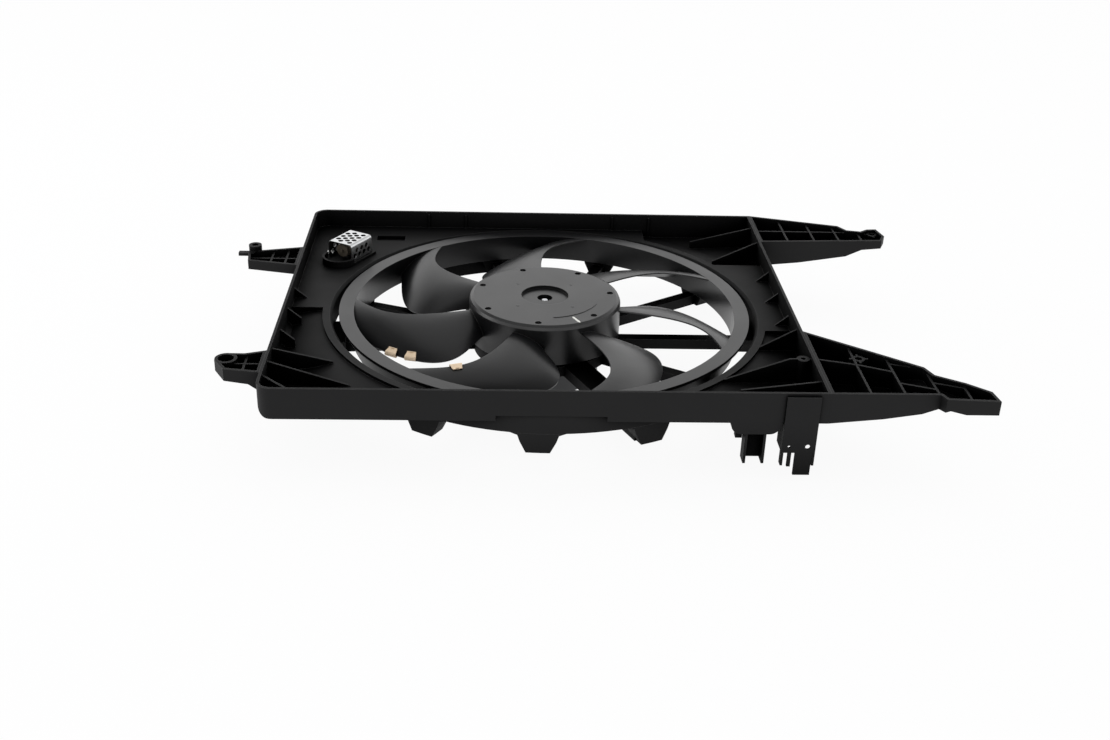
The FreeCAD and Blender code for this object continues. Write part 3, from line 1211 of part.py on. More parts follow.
def make_resistor():
    """Speed resistor: base with a nose, perforated cage, ceramic core, terminals and two screws."""
    foot, deck = "shelf_top", "base_top"
    half, side = "cage_long / 2", "cage_wide / 2"
    plate = box("base_plate", ("-(%s) - base_edge" % half, half + " + base_edge"),
                ("-(%s) - base_edge" % side, side + " + base_edge"), (foot, deck))
    nose_at = ("-(%s) - tap_gap" % half, "0")
    nose = rod("base_nose", "base_nose", (foot, foot + " + base_nose_tall"), nose_at)
    over = (deck, foot + " + base_nose_tall + " + PAST)
    pocket = rod("base_pocket", "base_nose - base_nose_wall", over, nose_at)
    past_cage = box("past_cage", ("-(%s)" % half, "cage_long"), ("-cage_wide", "cage_wide"), over)
    blocks = [plate, nose]
    holes = [pocket, past_cage]
    screws = []
    for number, (u, v) in enumerate(TAPS):
        blocks.append(rod("tap_ear_%d" % number, "tap_ear", (foot, deck), (u, v)))
        through = (foot + " - " + PAST, deck + " + " + PAST)
        holes.append(rod("base_tap_%d" % number, "tap_radius + screw_fit", through, (u, v)))
        shank = rod("tap_%d" % number, "tap_radius", (deck + " - tap_long", deck), (u, v))
        head = rod("tap_head_%d" % number, "tap_head", (deck, deck + " + tap_head_tall"), (u, v))
        screws.append(fuse("tap_screw_%d" % number, shank, head))
    named(on_base(cut("resistor_base", fuse("base_blocks", *blocks), *holes)), "resistor_base")
    named(on_base(group("resistor_screws", *screws)), "resistor_screws")

    def fold(edge):
        """True for the two upper edges along the cage."""
        span = edge.BoundBox
        return span.YLength < NEAR_ZERO and span.ZLength < NEAR_ZERO and span.ZMax > size("shelf_top + base_nose_tall")

    outer_block = box("cage_block", ("-(%s)" % half, half), ("-(%s)" % side, side), (deck, "cage_top"))
    outer = rounded("cage_outer", outer_block, "cage_round", fold)
    inner_block = box(
        "cage_room",
        ("-(%s) - %s" % (half, PAST), half + " - cage_sheet"),
        ("-(%s) + cage_sheet" % side, side + " - cage_sheet"),
        (deck + " - " + PAST, "cage_top - cage_sheet"),
    )
    inner = rounded("cage_inner", inner_block, "cage_round - cage_sheet", fold)
    drills = []
    middle = "(%s + cage_top) / 2" % deck

    def drill(name, u, v, z, height):
        """Six-sided cutting tool."""
        tool = doc.addObject("Part::Prism", name)
        tool.Polygon = 6
        bind(tool, Circumradius="cage_hole", Height=height)
        return bind(tool, Placement__Base__x=u, Placement__Base__y=v, Placement__Base__z=z)

    for row in range(4):
        for step in range(5 - row % 2):
            u = "(%d + %d / 2 - 2) * cage_pitch" % (step, row % 2)
            place = "(%d - 3 / 2) * cage_row" % row
            drills.append(drill("cage_hole_%d_%d" % (row, step), u, place, middle, "cage_long"))
            if row < 2:
                height = "%s + (%d - 1 / 2) * cage_row" % (middle, row)
                across = drill("cage_side_%d_%d" % (row, step), u, "cage_wide", height, "2 * cage_wide")
                across.Placement.Rotation = FreeCAD.Rotation(V(1, 0, 0), 90)
                drills.append(across)
    named(on_base(cut("resistor_cage", cut("cage_shell", outer, inner), *drills)), "resistor_cage")

    def lying(name, radius, reach):
        """Cylinder along the cage, on the core's axis."""
        bar = doc.addObject("Part::Cylinder", name)
        bar.Placement.Rotation = FreeCAD.Rotation(V(0, 1, 0), 90)
        bind(bar, Radius=radius, Height="2 * (%s)" % reach)
        return bind(bar, Placement__Base__x="-(%s)" % reach, Placement__Base__z="shelf_top + core_lift")

    bar = lying("core_bar", "core_radius", "core_long / 2")
    core = fuse("ceramic", bar, lying("core_wire", "core_lead", "core_long / 2 + core_lead"))
    straps = []
    for number, side_sign in enumerate(("-1", "1")):
        place = "%s * strap_place" % side_sign
        reach = (place + " - strap_thick / 2", place + " + strap_thick / 2")
        tall = (deck, "shelf_top + core_lift")
        blank = box("strap_block_%d" % number, reach, ("-strap_wide / 2", "strap_wide / 2"), tall)
        seat = lying("strap_seat_%d" % number, "core_radius", "core_long / 2")
        straps.append(cut("strap_%d" % number, blank, seat))
    named(on_base(core), "resistor_core")
    named(on_base(group("resistor_terminals", *straps)), "resistor_terminals")


def make_clips():
    """Cable clip under the deep pocket and connector bracket beside it."""
    web_back = "tray_near + hook_deep"
    web = (web_back + " - hook_wall", web_back)
    clip = [box("clip_web", ("hook_left", "hook_right"), web, ("hook_low", "sump_under"))]
    for word, low, high in (
        ("left", "hook_left", "hook_left + hook_wall"),
        ("right", "hook_right - hook_wall", "hook_right"),
    ):
        height = ("hook_low - hook_tip", "sump_under")
        clip.append(box("clip_" + word, (low, high), ("tray_near + hook_set", web_back), height))
    behind = (web_back + " - 3 * hook_wall", web_back)
    clip.append(box("clip_peg", ("peg_left", "peg_right"), behind, ("peg_low", "sump_under")))
    bridge = ("sump_under - hook_wall", "sump_under")
    clip.append(box("clip_bridge", ("peg_left", "hook_left"), behind, bridge))
    named(fuse("cable_clip", *clip), "cable_clip")

    face = "tray_near - bracket_out"
    sides = ("bracket_left", "bracket_right")
    plate = box("bracket_plate", sides, (face, "tray_near"), ("bracket_low", "bracket_top"))
    parts = [plate]
    under = ("bracket_low", "tray_under")
    for word, low, high in (
        ("left", "bracket_left", "bracket_left + bracket_wall"),
        ("right", "bracket_right - bracket_wall", "bracket_right"),
    ):
        parts.append(box("bracket_" + word, (low, high), (face, face + " + bracket_deep"), under))
        prong = (face, face + " + 2 * prong_wide")
        parts.append(box("prong_" + word, (low, high), prong, ("prong_low", "bracket_low")))
    middle = "bracket_left + eye_left + prong_step"
    inner = (middle + " - prong_wide / 2", middle + " + prong_wide / 2")
    parts.append(box("prong_inner", inner, (face, "tray_near"), ("prong_low - prong_step", "bracket_low")))
    tongue = ("bracket_left + tongue_in", "bracket_left + tongue_in + tongue_width")
    parts.append(box("bracket_tongue", tongue, (face, "tray_near"), ("tongue_low", "bracket_low")))
    eyes = []
    for place, radius in (("eye_left", "eye_small"), ("eye_right", "eye_large")):
        deep = ("tray_near - 2 * bracket_wall", "tray_near + 2 * bracket_wall")
        eyes.append(lying_rod("bracket_" + place, radius, "bracket_left + " + place, deep, "eye_height"))
    named(cut("connector_bracket", fuse("bracket_body", *parts), *eyes), "connector_bracket")


def blade_point(radius, side):
    """Point on a blade's leading or trailing edge at a radius, read between the stations."""
    rows = []
    for number in range(1, len(STATIONS) + 1):
        rows.append([size("blade_%s_%d" % (word, number)) for word in ("radius", side, side + "_z")])
    for (r0, a0, z0), (r1, a1, z1) in zip(rows, rows[1:]):
        if radius <= r1:
            break
    share = (radius - r0) / (r1 - r0)
    angle = math.radians(a0 + share * (a1 - a0))
    return V(radius * math.cos(angle), radius * math.sin(angle), z0 + share * (z1 - z0))


def make_weights():
    """Sprung balance clips pushed onto the edges of two blades."""
    weights = []
    pitch = 360.0 / size("blade_count")
    for name, side, turn in (("weight_a", "trail", 1), ("weight_b", "trail", 1), ("weight_c", "lead", 2)):
        radius = size("ring_inside - " + name)
        half = size("weight_wide") / 2
        edge = blade_point(radius, side)
        along = (blade_point(radius + half, side) - blade_point(radius - half, side)).normalize()
        other = "lead" if side == "trail" else "trail"
        inward = blade_point(radius, other) - edge
        slope = 4 * size("blade_camber") / inward.Length
        inward.normalize()
        rise = (Z_AXIS - inward * inward.dot(Z_AXIS)).normalize()
        inward = (inward + rise * slope).normalize()
        inward = (inward - along * inward.dot(along)).normalize()
        up = along.cross(inward)
        frame = FreeCAD.Rotation(along, inward, up, "XYZ")
        length, deep, thick = size("weight_wide"), size("weight_deep + weight_over"), size("weight_thick")
        block = doc.addObject("Part::Box", name)
        bind(block, Length="weight_wide", Width="weight_deep + weight_over", Height="weight_thick")
        corner = edge - along * (length / 2) - inward * size("weight_over") - up * (thick / 2)
        place = FreeCAD.Placement(corner, frame)
        around = FreeCAD.Placement(V(0, 0, 0), FreeCAD.Rotation(Z_AXIS, turn * pitch))
        block.Placement = around.multiply(place)
        weights.append(cut(name + "_clip", block, PIECES["fan_impeller"]))
    named(group("balance_clips", *weights), "balance_clips")


named(make_tray(), "shroud_tray")
make_arms()
make_carrier()
make_fan()
make_motor()
make_resistor()
make_clips()
make_weights()


def export():
    """Check every object, then write one STEP file a piece."""
    doc.recompute()
    for thing in doc.Objects:
        if {"Invalid", "Error"} & set(thing.State):
            raise RuntimeError("%s failed: %s" % (thing.Name, thing.State))
    for node, thing in PIECES.items():
        if thing.Shape.isNull() or not thing.Shape.isValid():
            raise RuntimeError("%s has no sound shape" % node)
    os.makedirs("parts", exist_ok=True)
    for node, thing in PIECES.items():
        thing.Shape.exportStep(os.path.join("parts", node + ".step"))
        solid = thing.Shape
        span = solid.BoundBox
        print("%-22s solids %2d volume %10.1f x %7.1f %7.1f y %7.1f %7.1f z %6.1f %6.1f" % (
            node, len(solid.Solids), solid.Volume, span.XMin, span.XMax, span.YMin, span.YMax, span.ZMin, span.ZMax))


export()
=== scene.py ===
"""Looks of the radiator fan shroud: finishes, folded and threaded details, light and camera."""

import logging
import math
from dataclasses import dataclass, field
from enum import Enum
from typing import Any, ClassVar, Sequence

import bmesh
import bpy
from bpy.types import ID, Material, Mesh, Node, NodeSocket, NodeTree, Object, World
from mathutils import Matrix, Vector


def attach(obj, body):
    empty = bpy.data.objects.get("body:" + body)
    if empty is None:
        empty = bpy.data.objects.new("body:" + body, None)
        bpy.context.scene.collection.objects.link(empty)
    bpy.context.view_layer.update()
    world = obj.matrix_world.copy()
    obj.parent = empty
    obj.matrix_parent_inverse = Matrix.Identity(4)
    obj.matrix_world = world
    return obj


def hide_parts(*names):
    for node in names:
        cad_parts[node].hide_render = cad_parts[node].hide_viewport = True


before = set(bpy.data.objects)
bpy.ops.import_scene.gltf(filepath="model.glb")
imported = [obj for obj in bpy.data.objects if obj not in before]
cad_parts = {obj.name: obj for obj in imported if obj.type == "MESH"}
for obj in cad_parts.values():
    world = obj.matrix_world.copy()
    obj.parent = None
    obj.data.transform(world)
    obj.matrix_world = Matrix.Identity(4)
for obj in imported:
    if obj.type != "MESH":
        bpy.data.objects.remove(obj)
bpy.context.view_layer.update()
LOG = logging.getLogger("fan_shroud")
MM = 0.001
WHITE = "ffffff"


class Grain(Enum):
    """How a surface was made, which decides its pattern."""

    SPARKED = "fine spark-eroded mould grain"
    POLISHED = "smooth mould with faint flow marks"
    ROLLED = "rolled sheet with long fine lines"
    TURNED = "turned metal with rings round the axis"
    WOUND = "varnished wire laid side by side"
    PRESSED = "pressed powder with small grains"


def linear(code: str) -> tuple[float, float, float, float]:
    """Turn an sRGB hex colour into linear light.

    Args:
        code: colour as rrggbb.

    Returns:
        Linear red, green, blue and an alpha of one.
    """
    parts = [int(code[i:i + 2], 16) / 255 for i in (0, 2, 4)]
    return tuple(p / 12.92 if p <= 0.04045 else ((p + 0.055) / 1.055) ** 2.4 for p in parts) + (1.0,)


def add(tree: NodeTree, kind: str, values: dict[str, Any] | None = None,
        links: dict[str, Any] | None = None) -> Node:
    """Add a node with its settings and links.

    Args:
        tree: node tree that gets the node.
        kind: Blender's name of the node type.
        values: attributes or input values by name.
        links: output sockets by the name of the input that they feed.

    Returns:
        The new node.
    """
    node = tree.nodes.new(kind)
    for key, value in (values or {}).items():
        if hasattr(node, key):
            setattr(node, key, value)
        else:
            node.inputs[int(key) if key.isdigit() else key].default_value = value
    for key, socket in (links or {}).items():
        tree.links.new(socket, node.inputs[int(key) if key.isdigit() else key])
    return node


def cleared(owner: Material | World) -> NodeTree:
    """Switch an owner's nodes on and empty its tree.

    Args:
        owner: material or world.

    Returns:
        The empty tree.
    """
    owner.use_nodes = True
    owner.node_tree.nodes.clear()
    return owner.node_tree


def put(name: str, data: ID) -> Object:
    """Make an object and link it to the scene.

    Args:
        name: name of the object.
        data: its mesh, lamp or camera.

    Returns:
        The object.
    """
    made = bpy.data.objects.new(name, data)
    bpy.context.scene.collection.objects.link(made)
    return made


def baked(carrier: Object) -> Mesh:
    """Keep what an object's modifiers make as a plain mesh, and remove the object.

    Args:
        carrier: object with live modifiers.

    Returns:
        The mesh.
    """
    ready = carrier.evaluated_get(bpy.context.evaluated_depsgraph_get())
    mesh = bpy.data.meshes.new_from_object(ready)
    carrier.modifiers.clear()
    bpy.data.objects.remove(carrier)
    return mesh


def finished(shape: bmesh.types.BMesh, name: str) -> Mesh:
    """Turn a built shape into a mesh and free it.

    Args:
        shape: shape that was built.
        name: name of the mesh.

    Returns:
        The mesh.
    """
    mesh = bpy.data.meshes.new(name)
    shape.to_mesh(mesh)
    shape.free()
    return mesh


def strip(shape: bmesh.types.BMesh, low: Sequence[Any], high: Sequence[Any]) -> None:
    """Close two rows of points with faces.

    Args:
        shape: shape that gets the faces.
        low: points of one row.
        high: points of the next row, as many.
    """
    for side in range(len(low) - 1):
        shape.faces.new((low[side], low[side + 1], high[side + 1], high[side]))


@dataclass(frozen=True)
class Finish:
    """One real finish: its colours, gloss and the pattern that its making leaves.

    Attributes:
        name: name of the real material and how it was made.
        dark: darker colour of the surface, sRGB hex.
        light: lighter colour of the surface, sRGB hex.
        rough: roughness between 0 and 1.
        grain: how the surface was made.
        pitch: real distance between grains, lines or turns, in millimetres.
        depth: real height of the pattern in millimetres.
        metal: 1 for bare metal.
        shine: specular level.
        edge: radius of the softened edges in millimetres.
        painted_shade: share of colour and gloss that corners and pockets lose to painted shade.
        rim: extra gloss on upward-facing edges, a painted highlight.
        patch: width in millimetres of the soft patches of tone and gloss.
        gloss_swing: change of roughness over those patches.
        relief: strength of the bump.
        pocket_reach: how far in millimetres a point looks for walls round it.
        pocket_open: open share at which the painted shade is full and none.
        rim_wide: width in millimetres of the edge that gets the painted highlight.
        rim_bend: turn of the normal, as a cosine, at which the painted highlight starts and is full.
        wave_scale: scale of the wave texture at a pitch of one, for waves two pitches long.
    """

    name: str
    dark: str
    light: str
    rough: float
    grain: Grain
    pitch: float
    depth: float
    metal: float = 0.0
    edge: float = 0.35
    shine: float = 0.5
    painted_shade: float = 0.0
    rim: float = 0.0
    patch: ClassVar[float] = 38.0
    gloss_swing: ClassVar[tuple[float, float]] = (-0.06, 0.08)
    relief: ClassVar[float] = 0.6
    pocket_reach: ClassVar[float] = 60.0
    pocket_open: ClassVar[tuple[float, float]] = (0.35, 0.97)
    rim_wide: ClassVar[float] = 0.8
    rim_bend: ClassVar[tuple[float, float]] = (0.97, 0.75)
    wave_scale: ClassVar[float] = 0.16

    def material(self) -> Material:
        """Build the node material once and reuse it afterwards.

        Returns:
            The material.
        """
        if self.name in bpy.data.materials:
            return bpy.data.materials[self.name]
        made = bpy.data.materials.new(self.name)
        tree = cleared(made)
        place = add(tree, "ShaderNodeTexCoord").outputs["Object"]
        grain = self.pattern(tree, place)
        cloud = add(tree, "ShaderNodeTexNoise", {"Scale": 1 / (self.patch * MM), "Detail": 3.0},
                    {"Vector": place})
        half = add(tree, "ShaderNodeMath", {"operation": "MULTIPLY", "1": 0.5}, {"0": cloud.outputs["Fac"]})
        share = add(tree, "ShaderNodeMath", {"operation": "MULTIPLY_ADD", "1": 0.5},
                    {"0": grain, "2": half.outputs[0]})
        ramp = add(tree, "ShaderNodeMix",
                   {"data_type": "RGBA", "6": linear(self.dark), "7": linear(self.light)},
                   {"0": share.outputs[0]})
        least, most = (self.rough + swing for swing in self.gloss_swing)
        gloss = add(tree, "ShaderNodeMapRange", {"To Min": least, "To Max": most},
                    {"Value": cloud.outputs["Fac"]})
        soft = add(tree, "ShaderNodeBevel", {"samples": 4, "Radius": self.edge * MM})
        bump = add(tree, "ShaderNodeBump", {"Strength": self.relief, "Distance": self.depth * MM},
                   {"Height": grain, "Normal": soft.outputs[0]})
        shader = add(tree, "ShaderNodeBsdfPrincipled",
                     {"Metallic": self.metal, "Specular IOR Level": self.shine},
                     {"Base Color": ramp.outputs[2], "Roughness": gloss.outputs[0],
                      "Normal": bump.outputs[0]})
        # Painted shade in pockets and corners, and a painted highlight on upper edges.
        if self.painted_shade:
            self.paint_shade_and_highlight(tree, shader, ramp.outputs[2])
        add(tree, "ShaderNodeOutputMaterial", None, {"Surface": shader.outputs[0]})
        return made

    def paint_shade_and_highlight(self, tree: NodeTree, shader: Node, colour: Any) -> None:
        """Paint shade into pockets and inner corners, and paint a highlight along upward-facing edges.

        Args:
            tree: node tree of the material.
            shader: shader that gets the colour and the gloss.
            colour: socket with the plain colour.
        """
        shut, clear = self.pocket_open
        # Painted shade: the less open air round a point, the more its colour and gloss are dimmed.
        open_air = add(tree, "ShaderNodeAmbientOcclusion",
                       {"samples": 8, "Distance": self.pocket_reach * MM})
        share = add(tree, "ShaderNodeMapRange",
                    {"From Min": shut, "From Max": clear, "To Min": 1 - self.painted_shade},
                    {"Value": open_air.outputs["AO"]})
        # Painted highlight: edges that face upwards get extra gloss.
        start, full = self.rim_bend
        wide = add(tree, "ShaderNodeBevel", {"samples": 4, "Radius": self.rim_wide * MM})
        flat = add(tree, "ShaderNodeNewGeometry")
        bend = add(tree, "ShaderNodeVectorMath", {"operation": "DOT_PRODUCT"},
                   {"0": wide.outputs[0], "1": flat.outputs["Normal"]})
        edge = add(tree, "ShaderNodeMapRange", {"From Min": start, "From Max": full, "To Max": self.rim},
                   {"Value": bend.outputs["Value"]})
        upward = add(tree, "ShaderNodeSeparateXYZ", None, {"Vector": wide.outputs[0]})
        above = add(tree, "ShaderNodeMath", {"operation": "MULTIPLY", "use_clamp": True},
                    {"0": edge.outputs[0], "1": upward.outputs["Z"]})
        level = add(tree, "ShaderNodeMath", {"operation": "MULTIPLY_ADD", "1": self.shine},
                    {"0": share.outputs[0], "2": above.outputs[0]})
        shaded_colour = add(tree, "ShaderNodeVectorMath", {"operation": "SCALE"},
                  {"0": colour, "Scale": share.outputs[0]})
        tree.links.new(shaded_colour.outputs[0], shader.inputs["Base Color"])
        tree.links.new(level.outputs[0], shader.inputs["Specular IOR Level"])

    def pattern(self, tree: NodeTree, place: Any) -> NodeSocket:
        """Add the nodes of this finish's pattern.

        Args:
            tree: node tree of the material.
            place: socket with the object coordinates.

        Returns:
            The socket that gives the height and varies the colour.
        """
        scale = 1 / (self.pitch * MM)
        if self.grain in (Grain.SPARKED, Grain.POLISHED, Grain.PRESSED):
            detail = {Grain.SPARKED: 6.0, Grain.POLISHED: 1.0, Grain.PRESSED: 4.0}[self.grain]
            pattern = add(tree, "ShaderNodeTexNoise", {"Scale": scale, "Detail": detail, "Roughness": 0.6},
                          {"Vector": place})
        elif self.grain is Grain.ROLLED:
            stretch = add(tree, "ShaderNodeMapping", {"Scale": (1.0, 0.06, 1.0)}, {"Vector": place})
            pattern = add(tree, "ShaderNodeTexNoise", {"Scale": scale, "Detail": 4.0},
                          {"Vector": stretch.outputs[0]})
        else:
            kind = "RINGS" if self.grain is Grain.TURNED else "BANDS"
            pattern = add(tree, "ShaderNodeTexWave", {
                "wave_type": kind, kind.lower() + "_direction": "Z", "Scale": scale * self.wave_scale,
                "Distortion": 0.4}, {"Vector": place})
        return pattern.outputs["Fac"]


# Glass-filled nylon from a spark-eroded mould: near black, dull, with a grey sheen in grazing light.
# Painted shade darkens its pockets and corners, and a painted highlight runs along its upper edges.
SHROUD_NYLON = Finish("glass_filled_nylon_moulded", "050506", "0c0c0d", 0.60, Grain.SPARKED, 0.55, 0.03,
                      shine=0.24, painted_shade=0.95, rim=1.0)
# The fan's nylon comes from a smoother mould: black with a wide grey sheen on the hub and the ring. Painted
# shade darkens its corners and recesses, and a fainter painted highlight runs along its upper edges.
FAN_NYLON = Finish("fan_nylon_moulded", "070708", "101012", 0.31, Grain.POLISHED, 2.2, 0.015,
                   edge=0.5, shine=0.55, painted_shade=0.7, rim=0.5)
# Stainless sheet as rolled, with fine lines along the sheet. Painted shade darkens it where other surfaces
# close round it, as low on its sides and inside the cage.
CAGE_STEEL = Finish("rolled_stainless_sheet", "b9bbbd", "eceded", 0.30, Grain.ROLLED, 0.5, 0.01,
                    1.0, 0.2, painted_shade=0.85)
# Steatite body fired without glaze: grey brown and chalky. Painted shade darkens it inside the cage.
STEATITE = Finish("fired_steatite", "5f574b", "7d7365", 0.75, Grain.PRESSED, 0.4, 0.03, painted_shade=0.75)
# Spring steel with a tan passivated coat: pale, satin, the only warm spots on the fan.
TAN_SPRING = Finish("tan_passivated_spring_steel", "dcbd98", "f4e2c8", 0.5, Grain.ROLLED, 0.6, 0.01)
# Ground shaft steel: a small bright end with fine rings.
SHAFT_STEEL = Finish("ground_shaft_steel", "9fa1a4", "d9dadc", 0.22, Grain.TURNED, 0.25, 0.004, 1.0, 0.2)
# Blackened spring steel: a dark glint round the shaft.
BLACK_SPRING = Finish("blackened_spring_steel", "26272a", "45474b", 0.38, Grain.ROLLED, 0.4, 0.005,
                      1.0, 0.15)
# Deep-drawn steel under a thin black dip coat: smooth, dark and slightly uneven.
DIPPED_CAN = Finish("dip_coated_drawn_steel", "17181a", "2a2b2e", 0.36, Grain.POLISHED, 3.0, 0.015)
# Zinc plate: light grey screws with a faint yellow cast.
ZINC_PLATE = Finish("zinc_plated_steel", "a9abad", "d6d5cd", 0.34, Grain.PRESSED, 0.35, 0.006, 1.0, 0.2)
# Sintered bronze: open-pored and oil dark.
SINTERED_BRONZE = Finish("sintered_bronze", "6e4d26", "9a7038", 0.5, Grain.PRESSED, 0.3, 0.02, 1.0, 0.2)
# Pressed and fired ferrite: dull grey black.
FERRITE = Finish("fired_ferrite", "1d1e20", "33353a", 0.6, Grain.PRESSED, 0.5, 0.03)
# Paper-filled phenolic board: brown with faint long fibres.
PHENOLIC = Finish("phenolic_board", "4a2c16", "6b4526", 0.45, Grain.ROLLED, 0.8, 0.01)
# Pressed carbon: dark with a graphite shine.
CARBON = Finish("pressed_carbon", "1c1c1e", "34353a", 0.42, Grain.PRESSED, 0.25, 0.01)
# Punched laminations: their edges show as fine grey bands.
LAMINATIONS = Finish("stacked_laminations", "5b5d61", "86888c", 0.4, Grain.WOUND, 0.8, 0.05, 1.0, 0.15)
# Enamelled copper wire: red brown, laid turn by turn.
ENAMELLED_WIRE = Finish("enamelled_copper_wire", "6b2f12", "b4602c", 0.3, Grain.WOUND, 0.9, 0.2,
                        1.0, 0.2)
# Turned copper: warm metal with fine rings.
COPPER_BARS = Finish("turned_copper", "8f4a26", "c97a48", 0.3, Grain.TURNED, 0.4, 0.01, 1.0, 0.15)
# Acrylic marking paint put on by hand: off-white and matt.
MARKING_PAINT = Finish("marking_paint_brushed", "d9d9d2", "f1f1ec", 0.6, Grain.PRESSED, 0.8, 0.02)
# Resistance wire oxidised to a dull grey brown: fine ridges round the core.
RESISTANCE_WIRE = Finish("oxidised_resistance_wire", "5a5148", "8b8177", 0.45, Grain.TURNED, 0.4, 0.01,
                         1.0, 0.1)


class Recipe:
    """A Geometry Nodes tree with named sizes, which makes what repeats or follows a path."""

    def __init__(self, name: str, sizes: dict[str, str]) -> None:
        """Start the tree.

        Args:
            name: name of the tree.
            sizes: kind of each input, Float or Int, by the input's name.
        """
        self.name = name
        self.tree = bpy.data.node_groups.new(name, "GeometryNodeTree")
        self.keys: dict[str, str] = {}
        for label, kind in {**sizes, "Finish": "Material"}.items():
            self.keys[label] = self.tree.interface.new_socket(
                name=label, in_out="INPUT", socket_type="NodeSocket" + kind).identifier
        self.tree.interface.new_socket(name="Geometry", in_out="OUTPUT", socket_type="NodeSocketGeometry")
        self.sizes = add(self.tree, "NodeGroupInput").outputs

    def reckon(self, operation: str, first: Any, second: Any) -> Any:
        """Socket with the result of a sum on two numbers or sockets.

        Args:
            operation: the sum's name, such as MULTIPLY.
            first: left number or socket.
            second: right number or socket.

        Returns:
            The result's socket.
        """
        sides = {"0": first, "1": second}
        links = {key: side for key, side in sides.items() if isinstance(side, NodeSocket)}
        values = {key: side for key, side in sides.items() if key not in links}
        return add(self.tree, "ShaderNodeMath", {"operation": operation, **values}, links).outputs[0]

    def join(self, parts: Sequence[Any]) -> Any:
        """Put several geometries together.

        Args:
            parts: their sockets.

        Returns:
            The socket of the whole.
        """
        node = add(self.tree, "GeometryNodeJoinGeometry")
        for part in parts:
            self.tree.links.new(part, node.inputs[0])
        return node.outputs[0]

    def sweep(self, path: Node, radius: Any, sides: int) -> None:
        """End the tree with a round bar along a path.

        Args:
            path: node that gives the path.
            radius: socket with the bar's radius.
            sides: number of sides of its section.
        """
        section = add(self.tree, "GeometryNodeCurvePrimitiveCircle", {"Resolution": sides},
                      {"Radius": radius})
        swept = add(self.tree, "GeometryNodeCurveToMesh", {"Fill Caps": True},
                    {"Curve": path.outputs[0], "Profile Curve": section.outputs[0]})
        self.close(swept.outputs[0])

    def close(self, geometry: Any) -> None:
        """End the tree: real geometry with its finish.

        Args:
            geometry: socket with the finished geometry.
        """
        real = add(self.tree, "GeometryNodeRealizeInstances", None, {"Geometry": geometry})
        dressed = add(self.tree, "GeometryNodeSetMaterial", None,
                      {"Geometry": real.outputs[0], "Material": self.sizes["Finish"]})
        add(self.tree, "NodeGroupOutput", None, {"Geometry": dressed.outputs[0]})

    def mesh(self, values: dict[str, Any], finish: Finish,
             seed: Mesh | None = None) -> Mesh:
        """Run the tree once, with its inputs set before it is evaluated, and keep the result.

        Args:
            values: value of each input by its name.
            finish: finish of the result.
            seed: mesh that the tree starts from, where it has one.

        Returns:
            The mesh.
        """
        carrier = put(self.name, seed or bpy.data.meshes.new(self.name))
        modifier = carrier.modifiers.new(self.name, "NODES")
        modifier.node_group = self.tree
        for label, value in values.items():
            modifier[self.keys[label]] = value
        modifier[self.keys["Finish"]] = finish.material()
        return baked(carrier)


class SubAssembly:
    """A group of pieces that ride on one body."""

    body: str = "shroud"
    finishes: dict[str, Finish] = {}

    def dress(self) -> None:
        """Give the group's CAD nodes their finishes."""
        for name, finish in self.finishes.items():
            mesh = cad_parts[name].data
            mesh.materials.clear()
            mesh.materials.append(finish.material())
            LOG.info("%s wears %s", name, finish.name)

    def plant(self, name: str, mesh: Mesh, slot: str, stands_for: str = "") -> Object:
        """Put a finished mesh into the scene as a piece of this group.

        Args:
            name: name of the piece.
            mesh: its mesh, in the object's own place.
            slot: material slot of the record that it takes; not used.
            stands_for: CAD node that it replaces, if any.

        Returns:
            The piece.
        """
        mesh.name = name
        piece = put(name, mesh)
        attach(piece, self.body)
        if stands_for:
            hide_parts(stands_for)
        LOG.info("%s has %d faces and rides on %s", name, len(mesh.polygons), self.body)
        return piece


def thickened(mesh: Mesh, wall: float) -> Mesh:
    """Give a thin shell its wall, inwards.

    Args:
        mesh: shell with faces that point outwards.
        wall: thickness in metres.

    Returns:
        A new mesh with the wall applied.
    """
    carrier = put("shell", mesh)
    solid = carrier.modifiers.new("wall", "SOLIDIFY")
    solid.thickness = wall
    solid.offset = -1
    solid.use_even_offset = True
    return baked(carrier)


@dataclass
class Moulding(SubAssembly):
    """Tray, arms, motor carrier and the two clips on the near wall: one moulding of glass-filled nylon."""

    finishes: dict[str, Finish] = field(default_factory=lambda: dict.fromkeys((
        "shroud_tray", "arm_left_back", "arm_left_near", "arm_right_back", "arm_right_near",
        "motor_carrier", "cable_clip", "connector_bracket"), SHROUD_NYLON))

    def build(self) -> None:
        """Dress the moulding."""
        self.dress()


